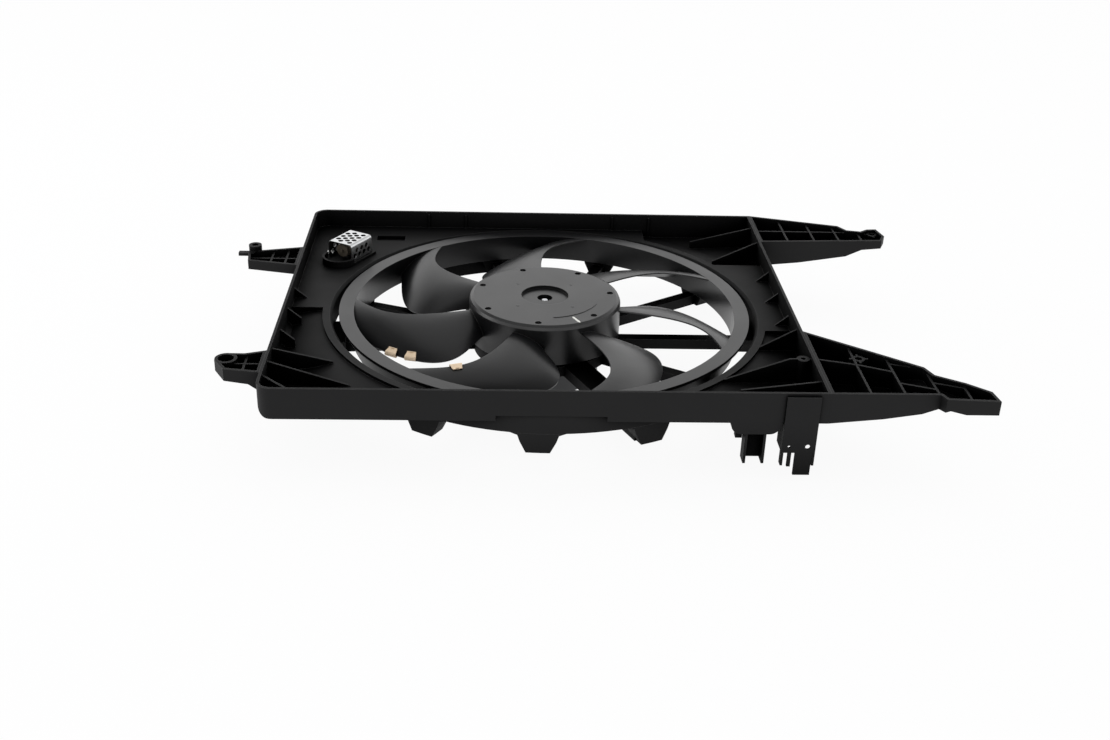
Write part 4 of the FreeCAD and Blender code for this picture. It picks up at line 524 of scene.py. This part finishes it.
@dataclass
class Fan(SubAssembly):
    """Fan with the marks on its hub.

    Attributes:
        hub_top: height of the hub's front face in millimetres.
        pin_place: distance of the ejector pins' marks from the axis.
        pin_radius: radius of such a mark.
        pin_count: number of marks.
        pin_turn: direction of the first mark in degrees.
        bead_place: radius of the arc on the hub's face.
        bead_radius: radius of the bead along that arc.
        bead_from: direction in which the arc starts, in degrees.
        bead_span: length of the arc in degrees.
        stroke_from: start of the paint stroke in millimetres.
        stroke_to: end of the paint stroke.
        stroke_wide: width of the stroke.
        stroke_wander: how far the brush strays.
        film: thickness of the paint.
    """

    body = "rotor"
    hub_top: float = 11.0
    pin_place: float = 35.5
    pin_radius: float = 1.5
    pin_count: int = 4
    pin_turn: float = 44.0
    bead_place: float = 50.3
    bead_radius: float = 0.45
    bead_from: float = 277.0
    bead_span: float = 61.0
    stroke_from: tuple[float, float] = (23.7, -47.8)
    stroke_to: tuple[float, float] = (29.6, -59.4)
    stroke_wide: float = 2.4
    stroke_wander: float = 0.15
    film: float = 0.12
    finishes: dict[str, Finish] = field(default_factory=lambda: {
        "fan_impeller": FAN_NYLON, "balance_clips": TAN_SPRING, "fan_retainer": BLACK_SPRING})

    def pin_marks(self) -> Mesh:
        """Round marks that the ejector pins leave, all on one circle.

        Returns:
            Their mesh.
        """
        recipe = Recipe("pin_marks", {
            "Place": "Float", "Radius": "Float", "Rise": "Float", "Count": "Int"})
        sizes = recipe.sizes
        places = add(recipe.tree, "GeometryNodeMeshCircle", None,
                     {"Vertices": sizes["Count"], "Radius": sizes["Place"]})
        mark = add(recipe.tree, "GeometryNodeMeshCylinder", {"Vertices": 20},
                   {"Radius": sizes["Radius"], "Depth": sizes["Rise"]})
        spread = add(recipe.tree, "GeometryNodeInstanceOnPoints", None,
                     {"Points": places.outputs[0], "Instance": mark.outputs[0]})
        recipe.close(spread.outputs[0])
        mesh = recipe.mesh({"Place": self.pin_place * MM, "Radius": self.pin_radius * MM,
                            "Rise": 2 * self.film * MM, "Count": self.pin_count}, FAN_NYLON)
        turn = Matrix.Rotation(math.radians(self.pin_turn), 4, "Z")
        mesh.transform(Matrix.Translation((0, 0, self.hub_top * MM)) @ turn)
        return mesh

    def bead(self) -> Mesh:
        """Thin moulded bead that follows an arc on the hub's face.

        Returns:
            Its mesh.
        """
        recipe = Recipe("arc_bead", {
            "Place": "Float", "Radius": "Float", "Start": "Float", "Sweep": "Float"})
        sizes = recipe.sizes
        path = add(recipe.tree, "GeometryNodeCurveArc", {"Resolution": 48},
                   {"Radius": sizes["Place"], "Start Angle": sizes["Start"], "Sweep Angle": sizes["Sweep"]})
        recipe.sweep(path, sizes["Radius"], 8)
        mesh = recipe.mesh({"Place": self.bead_place * MM, "Radius": self.bead_radius * MM,
                            "Start": math.radians(self.bead_from), "Sweep": math.radians(self.bead_span)},
                           FAN_NYLON)
        mesh.transform(Matrix.Translation((0, 0, self.hub_top * MM)))
        return mesh

    def paint_stroke(self) -> Mesh:
        """Short brush stroke with uneven sides and thin ends.

        Returns:
            Its mesh.
        """
        start, end = Vector(self.stroke_from + (0,)), Vector(self.stroke_to + (0,))
        across = Vector((start.y - end.y, end.x - start.x, 0)).normalized()
        rise = Vector((0, 0, self.hub_top))
        steps, blunt, ripple = 10, 0.12, 0.12
        shape = bmesh.new()
        rows = []
        for step in range(steps + 1):
            share = step / steps
            swell = math.sin(math.pi * (blunt + (1 - 2 * blunt) * share)) ** 0.5
            half = self.stroke_wide / 2 * swell * (1 + ripple * math.sin(7.3 * step))
            middle = start.lerp(end, share) + across * self.stroke_wander * math.sin(2.1 * step)
            crown = rise + Vector((0, 0, self.film * swell))
            points = (middle - across * half + rise, middle + crown, middle + across * half + rise)
            rows.append([shape.verts.new(point * MM) for point in points])
        for low, high in zip(rows, rows[1:]):
            strip(shape, low, high)
        bmesh.ops.recalc_face_normals(shape, faces=shape.faces)
        if sum(face.normal.z for face in shape.faces) < 0:
            bmesh.ops.reverse_faces(shape, faces=shape.faces)
        mesh = finished(shape, "paint_stroke")
        mesh.materials.append(MARKING_PAINT.material())
        return mesh

    def build(self) -> None:
        """Dress the fan and add its marks."""
        self.dress()
        self.plant("hub_pin_marks", self.pin_marks(), "fan_plastic")
        self.plant("hub_arc_bead", self.bead(), "fan_plastic")
        self.plant("hub_paint_stroke", self.paint_stroke(), "base_plastic")


@dataclass
class BalanceClips(SubAssembly):
    """Sprung clips folded from sheet, pushed onto the blades' edges.

    Attributes:
        long: length of a clip along the blade's edge in millimetres.
        deep: how far its legs reach onto the blade.
        gap: inner distance between the legs.
        sheet: thickness of the sheet.
        taper: how much shorter the legs are at their tips.
        flare: height of the tips as a share of the bend's.
        waist: height of the narrowest place between the legs, as the same share.
        waist_at: place of that along a leg, as a share of its reach.
        tongue: length of the sprung tongue pressed out of a leg.
    """

    body = "rotor"
    long: float = 10.5
    deep: float = 7.6
    gap: float = 2.6
    sheet: float = 0.7
    taper: float = 2.4
    flare: float = 0.72
    waist: float = 0.55
    waist_at: float = 0.82
    tongue: float = 3.4

    def frames(self) -> list[Matrix]:
        """Place of each clip, read from the CAD clips.

        Returns:
            One matrix a clip: X along the blade's edge, Y onto the blade, Z across it.
        """
        solid = bmesh.new()
        solid.from_mesh(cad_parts["balance_clips"].data)
        bmesh.ops.remove_doubles(solid, verts=solid.verts, dist=0.01 * MM)
        solid.faces.index_update()
        left = set(solid.faces)
        places = []
        while left:
            island, edge = set(), [next(iter(left))]
            while edge:
                face = edge.pop()
                if face not in island:
                    island.add(face)
                    edge += [other for vert in face.verts for other in vert.link_faces]
            left -= island
            places.append(self.settle(sorted(island, key=lambda face: face.index)))
        solid.free()
        return sorted(places, key=lambda place: place.translation.x)

    @staticmethod
    def settle(faces: list[bmesh.types.BMFace]) -> Matrix:
        """Work out one clip's place from the faces of its CAD block, which the blade has cut open.

        Args:
            faces: faces of the block, in the same order each run.

        Returns:
            The clip's place.
        """
        sides = [(face.normal.copy(), face.calc_area()) for face in faces]
        same, square = 0.9999, 0.05

        def area(way: Vector) -> float:
            """Area of the faces that look one way."""
            return sum(size for normal, size in sides if normal.dot(way) > same)

        up = max((normal for normal, _ in sides), key=lambda way: area(way) + area(-way))
        up = up if up.z > 0 else -up
        inward = -max((normal for normal, _ in sides if abs(normal.dot(up)) < square), key=area)
        along = inward.cross(up)
        points = {vert.co.copy().freeze() for face in faces for vert in face.verts}
        reach, rise, run = ([point.dot(way) for point in points] for way in (inward, up, along))
        origin = along * (max(run) + min(run)) / 2 + inward * min(reach) + up * (max(rise) + min(rise)) / 2
        turn = Matrix((along, inward, up)).transposed()
        return Matrix.Translation(origin) @ turn.to_4x4()

    def one(self) -> Mesh:
        """One clip: a strip folded round the blade's edge, with flared legs and a sprung tongue.

        Returns:
            Its mesh.
        """
        half, tip = self.long / 2, (self.long - self.taper) / 2
        rise = self.gap / 2 + self.sheet
        leg = [(self.deep, rise * self.flare, tip),
               (self.deep * self.waist_at, rise * self.waist, tip + 0.2)]
        section = list(leg)
        steps = 6
        for step in range(steps + 1):
            angle = math.pi / 2 + math.pi * step / steps
            section.append((rise + rise * math.cos(angle), rise * math.sin(angle), half))
        section += [(reach, -height, wide) for reach, height, wide in reversed(leg)]
        shape = bmesh.new()
        cuts = (-1, -0.35, 0.35, 1)
        rows = [[shape.verts.new(Vector((cut * wide, reach, height)) * MM) for cut in cuts]
                for reach, height, wide in section]
        for low, high in zip(rows, rows[1:]):
            strip(shape, low, high)
        end, root = rows[:2]
        lift = Vector((0, -self.tongue * 0.1, 0.9)) * MM
        bottom = [shape.verts.new(vert.co + lift) for vert in (end[1], end[2])]
        shape.faces.new((root[1], root[2], bottom[1], bottom[0]))
        bmesh.ops.recalc_face_normals(shape, faces=shape.faces)
        return thickened(finished(shape, "clip_sheet"), self.sheet * MM)

    def build(self) -> None:
        """Push every clip onto its blade."""
        shape = bmesh.new()
        for place in self.frames():
            clip = self.one()
            clip.transform(place)
            shape.from_mesh(clip)
        bmesh.ops.recalc_face_normals(shape, faces=shape.faces)
        mesh = finished(shape, "clips")
        mesh.materials.append(TAN_SPRING.material())
        self.plant("balance_clips_folded", mesh, "tan_clip", "balance_clips")


@dataclass
class ScrewSet(SubAssembly):
    """Equal screws with flanged hexagon heads.

    Attributes:
        node: CAD node that the screws stand for.
        places: where they sit, in millimetres.
        seat: height under their heads.
        shank: radius of the shank.
        length: length of the shank.
        head: radius of the flange.
        head_tall: height of the head.
        pitch: thread pitch.
        sides: number of points in every ring.
        core: radius of the thread's root as a share of the shank's.
    """

    node: str = "resistor_screws"
    places: tuple[tuple[float, float], ...] = ()
    seat: float = 0.0
    shank: float = 1.8
    length: float = 7.0
    head: float = 3.4
    head_tall: float = 1.8
    pitch: float = 0.9
    sides: int = 24
    core: float = 0.84

    def one(self) -> Mesh:
        """One screw, its seat at the origin.

        Returns:
            Its mesh.
        """
        root, flange = self.shank * self.core, 0.3 * self.head_tall
        section = []
        for turn in range(int(self.length / self.pitch)):
            low = -self.length + turn * self.pitch
            section += [(root, low + 0.1 * self.pitch), (self.shank, low + 0.55 * self.pitch)]
        section += [(root, -0.02), (self.shank * 0.9, 0.0), (self.head, 0.0), (self.head, 0.5 * flange),
                    (self.head * 0.93, flange)]
        shape = bmesh.new()
        angles = [2 * math.pi * side / self.sides for side in range(self.sides)]
        rings = [self.ring(shape, [(angle, radius) for angle in angles], height)
                 for radius, height in section]
        fold = math.radians(30)
        hexed = [math.cos(fold) / math.cos((angle % (2 * fold)) - fold) for angle in angles]
        # Hexagon, chamfer and dimple as shares of the flange's radius; only the hexagon is sharp.
        crown = ((0.80, flange), (0.80, 0.88 * self.head_tall), (0.70, self.head_tall),
                 (0.40, self.head_tall), (0.32, 0.86 * self.head_tall))
        for share, height in crown:
            sharp = share > 0.75
            radii = [self.head * share * (six if sharp else 0.97 * min(six * 1.1, 1.0)) for six in hexed]
            rings.append(self.ring(shape, list(zip(angles, radii)), height))
        for low, high in zip(rings, rings[1:]):
            strip(shape, low + low[:1], high + high[:1])
        shape.faces.new(list(reversed(rings[0])))
        shape.faces.new(rings[-1])
        bmesh.ops.recalc_face_normals(shape, faces=shape.faces)
        bmesh.ops.scale(shape, vec=(MM, MM, MM), verts=shape.verts)
        return finished(shape, self.node + "_one")

    @staticmethod
    def ring(shape: bmesh.types.BMesh, spots: list[tuple[float, float]],
             height: float) -> list[bmesh.types.BMVert]:
        """Set points round the screw's axis.

        Args:
            shape: shape that gets the points.
            spots: angle and radius of each point.
            height: their height.

        Returns:
            The points in order.
        """
        return [shape.verts.new((radius * math.cos(angle), radius * math.sin(angle), height))
                for angle, radius in spots]

    def build(self) -> None:
        """Set one screw on every place."""
        one = bpy.data.objects.new(self.node + "_one", self.one())
        recipe = Recipe(self.node + "_spread", {"Screw": "Object", "Seat": "Float"})
        spots = bpy.data.meshes.new(self.node + "_spots")
        spots.from_pydata([(x * MM, y * MM, 0) for x, y in self.places], [], [])
        recipe.tree.interface.new_socket(name="Spots", in_out="INPUT", socket_type="NodeSocketGeometry")
        recipe.tree.interface.move(recipe.tree.interface.items_tree["Spots"], 0)
        shape = add(recipe.tree, "GeometryNodeObjectInfo", None, {"Object": recipe.sizes["Screw"]})
        lift = add(recipe.tree, "ShaderNodeCombineXYZ", None, {"Z": recipe.sizes["Seat"]})
        lifted = add(recipe.tree, "GeometryNodeSetPosition", None,
                     {"Geometry": recipe.sizes["Spots"], "Offset": lift.outputs[0]})
        spread = add(recipe.tree, "GeometryNodeInstanceOnPoints", None,
                     {"Points": lifted.outputs[0], "Instance": shape.outputs["Geometry"]})
        recipe.close(spread.outputs[0])
        mesh = recipe.mesh({"Screw": one, "Seat": self.seat * MM}, ZINC_PLATE, spots)
        bpy.data.objects.remove(one)
        self.plant(self.node + "_threaded", mesh, "zinc_steel", self.node)


@dataclass
class Motor(SubAssembly):
    """Motor with its three screws; the armature turns with the fan.

    Attributes:
        ear_place: distance of the screws from the axis in millimetres.
        ear_turn: direction of the first screw in degrees.
        ear_top: height under the screws' heads.
        screw_length: length of their shanks.
    """

    ear_place: float = 61.5
    ear_turn: float = 20.0
    ear_top: float = -29.2
    screw_length: float = 13.8
    finishes: dict[str, Finish] = field(default_factory=lambda: {
        "motor_can": DIPPED_CAN, "motor_end_cap": DIPPED_CAN, "motor_screws": ZINC_PLATE,
        "front_bush": SINTERED_BRONZE, "rear_bush": SINTERED_BRONZE, "field_magnets": FERRITE,
        "brush_card": PHENOLIC, "brushes": CARBON, "armature_core": LAMINATIONS,
        "armature_winding": ENAMELLED_WIRE, "commutator": COPPER_BARS, "motor_shaft": SHAFT_STEEL})

    def build(self) -> None:
        """Dress the motor and set its screws."""
        self.dress()
        turns = [math.radians(self.ear_turn + 120 * number) for number in range(3)]
        places = tuple((self.ear_place * math.cos(turn), self.ear_place * math.sin(turn)) for turn in turns)
        ScrewSet(node="motor_screws", places=places, seat=self.ear_top, shank=2.4, length=self.screw_length,
                 head=4.4, head_tall=1.6, pitch=1.0).build()


@dataclass
class Resistor(SubAssembly):
    """Speed resistor: perforated cage over a wound ceramic core, on a base with two screws.

    Attributes:
        middle: place of the cage's middle in millimetres.
        turn: direction of its long side in degrees.
        long: length of the cage.
        wide: width of the cage.
        foot: height of the cage's lower edge.
        top: height of its top.
        fold: radius of its folds.
        sheet: thickness of the sheet.
        pitch: distance between holes in a row.
        row: distance between rows.
        hole: radius of a hole.
        core_height: height of the core's axis.
        wire_place: radius of the winding on the core.
        wire_long: length of that winding.
        wire_turns: number of its turns.
        wire: radius of the wire.
        screw_spots: places of the base's screws, seen from the cage's middle.
    """

    middle: tuple[float, float] = (-191.98, 118.11)
    turn: float = 60.0
    long: float = 34.0
    wide: float = 28.0
    foot: float = 1.0
    top: float = 18.6
    fold: float = 3.0
    sheet: float = 0.9
    pitch: float = 7.8
    row: float = 5.3
    hole: float = 2.6
    core_height: float = 9.5
    wire_place: float = 6.9
    wire_long: float = 21.0
    wire_turns: float = 13.0
    wire: float = 0.35
    screw_spots: tuple[tuple[float, float], ...] = ((22.6, 0.0), (-8.5, 19.6))
    finishes: dict[str, Finish] = field(default_factory=lambda: {
        "resistor_base": SHROUD_NYLON, "resistor_cage": CAGE_STEEL, "resistor_core": STEATITE,
        "resistor_terminals": SHAFT_STEEL, "resistor_screws": ZINC_PLATE})

    def onto_base(self) -> Matrix:
        """Placement of what is made along X at the origin."""
        place = Vector((self.middle[0], self.middle[1], 0)) * MM
        return Matrix.Translation(place) @ Matrix.Rotation(math.radians(self.turn), 4, "Z")

    def perforated(self) -> Recipe:
        """Tree of a flat sheet with staggered rows of round holes.

        Returns:
            The tree.
        """
        recipe = Recipe("perforated_sheet", {
            "Length": "Float", "Width": "Float", "Pitch": "Float", "Row": "Float", "Hole": "Float",
            "Pairs": "Int"})
        sizes, tree = recipe.sizes, recipe.tree
        edge = add(tree, "GeometryNodeCurvePrimitiveQuadrilateral", {"mode": "RECTANGLE"},
                   {"Width": sizes["Length"], "Height": sizes["Width"]})
        gaps = recipe.reckon("SUBTRACT", sizes["Pairs"], 1.0)
        tall = recipe.reckon("MULTIPLY", recipe.reckon("MULTIPLY", sizes["Row"], 2.0), gaps)
        rows = []
        for count, side in ((4, -0.5), (3, 0.5)):
            long = recipe.reckon("MULTIPLY", sizes["Pitch"], count - 1.0)
            spots = add(tree, "GeometryNodeMeshGrid", {"Vertices X": count},
                        {"Size X": long, "Size Y": tall, "Vertices Y": sizes["Pairs"]})
            shift = add(tree, "ShaderNodeCombineXYZ", None,
                        {"Y": recipe.reckon("MULTIPLY", sizes["Row"], side)})
            rows.append(add(tree, "GeometryNodeSetPosition", None,
                            {"Geometry": spots.outputs[0], "Offset": shift.outputs[0]}).outputs[0])
        rim = add(tree, "GeometryNodeCurvePrimitiveCircle", {"Resolution": 16}, {"Radius": sizes["Hole"]})
        holes = add(tree, "GeometryNodeInstanceOnPoints", None,
                    {"Points": recipe.join(rows), "Instance": rim.outputs[0]})
        real = add(tree, "GeometryNodeRealizeInstances", None, {"Geometry": holes.outputs[0]})
        outlines = recipe.join([edge.outputs[0], real.outputs[0]])
        sheet = add(tree, "GeometryNodeFillCurve", None, {"Curve": outlines})
        recipe.close(sheet.outputs[0])
        return recipe

    def cage(self) -> Mesh:
        """Folded cage: perforated top and sides, rounded folds and a closed end.

        Returns:
            Its mesh.
        """
        recipe = self.perforated()
        half, side = self.long / 2, self.wide / 2
        tall = self.top - self.fold - self.foot
        common = {"Length": self.long * MM, "Pitch": self.pitch * MM, "Row": self.row * MM,
                  "Hole": self.hole * MM}
        top = recipe.mesh({**common, "Width": (self.wide - 2 * self.fold) * MM, "Pairs": 2}, CAGE_STEEL)
        top.transform(Matrix.Translation((0, 0, self.top * MM)))
        shape = bmesh.new()
        shape.from_mesh(top)
        for sign in (-1, 1):
            wall = recipe.mesh({**common, "Width": tall * MM, "Pairs": 1}, CAGE_STEEL)
            stand = Matrix.Rotation(math.radians(90), 4, "X")
            middle = Vector((0, sign * side, self.foot + tall / 2)) * MM
            wall.transform(Matrix.Translation(middle) @ stand)
            shape.from_mesh(wall)
        steps, weld = 6, 0.02 * MM
        arcs = []
        for sign in (-1, 1):
            arc = []
            for step in range(steps + 1):
                angle = math.pi / 2 * step / steps
                across = sign * (side - self.fold + self.fold * math.cos(angle))
                arc.append((across, self.top - self.fold + self.fold * math.sin(angle)))
            arcs.append(arc)
            near, far = ([shape.verts.new(Vector((end, *point)) * MM) for point in arc]
                         for end in (-half, half))
            for step in range(steps):
                shape.faces.new((near[step], far[step], far[step + 1], near[step + 1]))
        outline = [(-side, self.foot)] + arcs[0] + list(reversed(arcs[1])) + [(side, self.foot)]
        shape.faces.new([shape.verts.new(Vector((half, *point)) * MM) for point in outline])
        bmesh.ops.remove_doubles(shape, verts=shape.verts, dist=weld)
        bmesh.ops.recalc_face_normals(shape, faces=shape.faces)
        upper = max(shape.faces, key=lambda face: face.calc_center_median().z)
        if upper.normal.z < 0:
            bmesh.ops.reverse_faces(shape, faces=shape.faces)
        shell = finished(shape, "cage_shell")
        shell.materials.append(CAGE_STEEL.material())
        mesh = thickened(shell, self.sheet * MM)
        mesh.transform(self.onto_base())
        return mesh

    def winding(self) -> Mesh:
        """Resistance wire wound round the core.

        Returns:
            Its mesh.
        """
        recipe = Recipe("core_winding", {
            "Place": "Float", "Long": "Float", "Turns": "Float", "Wire": "Float"})
        sizes = recipe.sizes
        path = add(recipe.tree, "GeometryNodeCurveSpiral", {"Resolution": 24}, {
            "Rotations": sizes["Turns"], "Start Radius": sizes["Place"], "End Radius": sizes["Place"],
            "Height": sizes["Long"]})
        recipe.sweep(path, sizes["Wire"], 6)
        mesh = recipe.mesh({"Place": self.wire_place * MM, "Long": self.wire_long * MM,
                            "Turns": self.wire_turns, "Wire": self.wire * MM}, RESISTANCE_WIRE)
        start = Vector((-self.wire_long / 2, 0, self.core_height)) * MM
        lie = Matrix.Rotation(math.radians(90), 4, "Y")
        mesh.transform(self.onto_base() @ Matrix.Translation(start) @ lie)
        return mesh

    def build(self) -> None:
        """Dress the resistor, fold its cage and wind its core."""
        self.dress()
        self.plant("resistor_cage_folded", self.cage(), "cage_steel", "resistor_cage")
        self.plant("resistor_wire", self.winding(), "copper_wire")
        spots = [self.onto_base() @ (Vector(spot + (0,)) * MM) for spot in self.screw_spots]
        places = tuple((spot.x / MM, spot.y / MM) for spot in spots)
        ScrewSet(node="resistor_screws", places=places, seat=self.foot).build()


@dataclass
class Studio:
    """Floor, lights, world and the camera at the photograph's angle.

    Attributes:
        place: camera position in metres.
        pitch: downward tilt in degrees.
        yaw: turn to the right in degrees.
        roll: roll in degrees.
        lens: focal length in millimetres on a 36 mm sensor.
        floor_height: height of the floor, under the motor's rear end.
        floor_reach: distance from the middle to the floor's sides.
        floor_glow: share of plain white in the floor as the camera and glossy surfaces see it.
        lamps: name, place, size and power of each soft box.
        ambient: strength of the world on matt surfaces.
        sky: strength of the world's horizon in glossy surfaces.
        zenith: share of that which is left overhead.
        fade: upward part of the direction where the sky starts and ends to fade.
    """

    place: tuple[float, float, float] = (-0.04696, -1.13405, 0.51395)
    pitch: float = 27.113
    yaw: float = 2.964
    roll: float = 1.928
    lens: float = 43.175
    floor_height: float = -0.0661
    floor_reach: float = 12.0
    floor_glow: float = 0.93
    lamps: tuple[tuple[str, tuple[float, float, float], float, float], ...] = (
        ("top_box", (0.1, 0.7, 1.7), 1.8, 5.0),
        ("front_box", (-0.3, -1.9, 0.25), 1.2, 2.5),
        ("left_box", (-1.8, 0.2, 0.6), 1.0, 6.0))
    ambient: float = 0.85
    sky: float = 1.42
    zenith: float = 0.12
    fade: tuple[float, float] = (0.40, 0.70)

    def camera(self) -> None:
        """Create the camera and make it the scene's own."""
        pitch, yaw, roll = (math.radians(v) for v in (self.pitch, self.yaw, self.roll))
        ahead = Vector((math.sin(yaw) * math.cos(pitch), math.cos(yaw) * math.cos(pitch), -math.sin(pitch)))
        level = Vector((math.cos(yaw), -math.sin(yaw), 0))
        above = level.cross(ahead)
        right = level * math.cos(roll) + above * math.sin(roll)
        up = above * math.cos(roll) - level * math.sin(roll)
        data = bpy.data.cameras.new("photo_camera")
        data.sensor_width = 36
        data.lens = self.lens
        data.clip_end = 50
        camera = put("photo_camera", data)
        turn = Matrix((right, up, -ahead)).transposed()
        camera.matrix_world = Matrix.Translation(Vector(self.place)) @ turn.to_4x4()
        bpy.context.scene.camera = camera

    def floor(self) -> None:
        """Lay a pale floor that shows white but keeps the shadow."""
        mesh = bpy.data.meshes.new("floor")
        reach = self.floor_reach
        signs = ((-1, -1), (1, -1), (1, 1), (-1, 1))
        corners = [(x * reach, y * reach, self.floor_height) for x, y in signs]
        mesh.from_pydata(corners, [], [(0, 1, 2, 3)])
        floor = put("floor", mesh)
        made = bpy.data.materials.new("pale_floor")
        tree = cleared(made)
        matt = add(tree, "ShaderNodeBsdfDiffuse", {"Color": linear("f4f4f6")})
        glow = add(tree, "ShaderNodeEmission", {"Color": linear(WHITE), "Strength": 1.0})
        path = add(tree, "ShaderNodeLightPath")
        seen = add(tree, "ShaderNodeMath", {"operation": "MAXIMUM"},
                   {"0": path.outputs["Is Camera Ray"], "1": path.outputs["Is Glossy Ray"]})
        share = add(tree, "ShaderNodeMath", {"operation": "MULTIPLY", "1": self.floor_glow},
                    {"0": seen.outputs[0]})
        mix = add(tree, "ShaderNodeMixShader", None,
                  {"0": share.outputs[0], "1": matt.outputs[0], "2": glow.outputs[0]})
        add(tree, "ShaderNodeOutputMaterial", None, {"Surface": mix.outputs[0]})
        mesh.materials.append(made)

    def lights(self) -> None:
        """Hang the soft boxes."""
        for name, place, size, power in self.lamps:
            data = bpy.data.lights.new(name, "AREA")
            data.size = size
            data.energy = power
            lamp = put(name, data)
            lamp.location = place
            lamp.rotation_mode = "QUATERNION"
            lamp.rotation_quaternion = (-Vector(place)).to_track_quat("-Z", "Y")

    def world(self) -> None:
        """Set a world that is even for matt surfaces and darker overhead for glossy ones."""
        world = bpy.data.worlds.new("studio")
        tree = cleared(world)
        path = add(tree, "ShaderNodeLightPath")
        way = add(tree, "ShaderNodeTexCoord").outputs["Generated"]
        height = add(tree, "ShaderNodeSeparateXYZ", None, {"Vector": way}).outputs["Z"]
        low, high = self.fade
        fall = add(tree, "ShaderNodeMapRange",
                   {"From Min": low, "From Max": high, "To Min": 1.0, "To Max": self.zenith},
                   {"Value": height})
        bright = add(tree, "ShaderNodeMath", {"operation": "MULTIPLY", "1": self.sky},
                     {"0": fall.outputs[0]})
        soft = add(tree, "ShaderNodeMapRange", {"To Min": self.ambient},
                   {"Value": path.outputs["Is Glossy Ray"], "To Max": bright.outputs[0]})
        strength = add(tree, "ShaderNodeMath", {"operation": "MAXIMUM"},
                       {"0": soft.outputs[0], "1": path.outputs["Is Camera Ray"]})
        sky = add(tree, "ShaderNodeBackground", {"Color": linear(WHITE)},
                  {"Strength": strength.outputs[0]})
        add(tree, "ShaderNodeOutputWorld", None, {"Surface": sky.outputs[0]})
        bpy.context.scene.world = world
        bpy.context.scene.view_settings.view_transform = "Standard"

    def build(self) -> None:
        """Set up the whole studio."""
        self.camera()
        self.floor()
        self.lights()
        self.world()


def main() -> None:
    """Build the looks in order."""
    logging.basicConfig(level=logging.INFO, format="%(message)s")
    Studio().build()
    for group in (Moulding(), Fan(), BalanceClips(), Motor(), Resistor()):
        LOG.info("building %s", type(group).__name__)
        group.build()


if __name__ == "__main__":
    main()
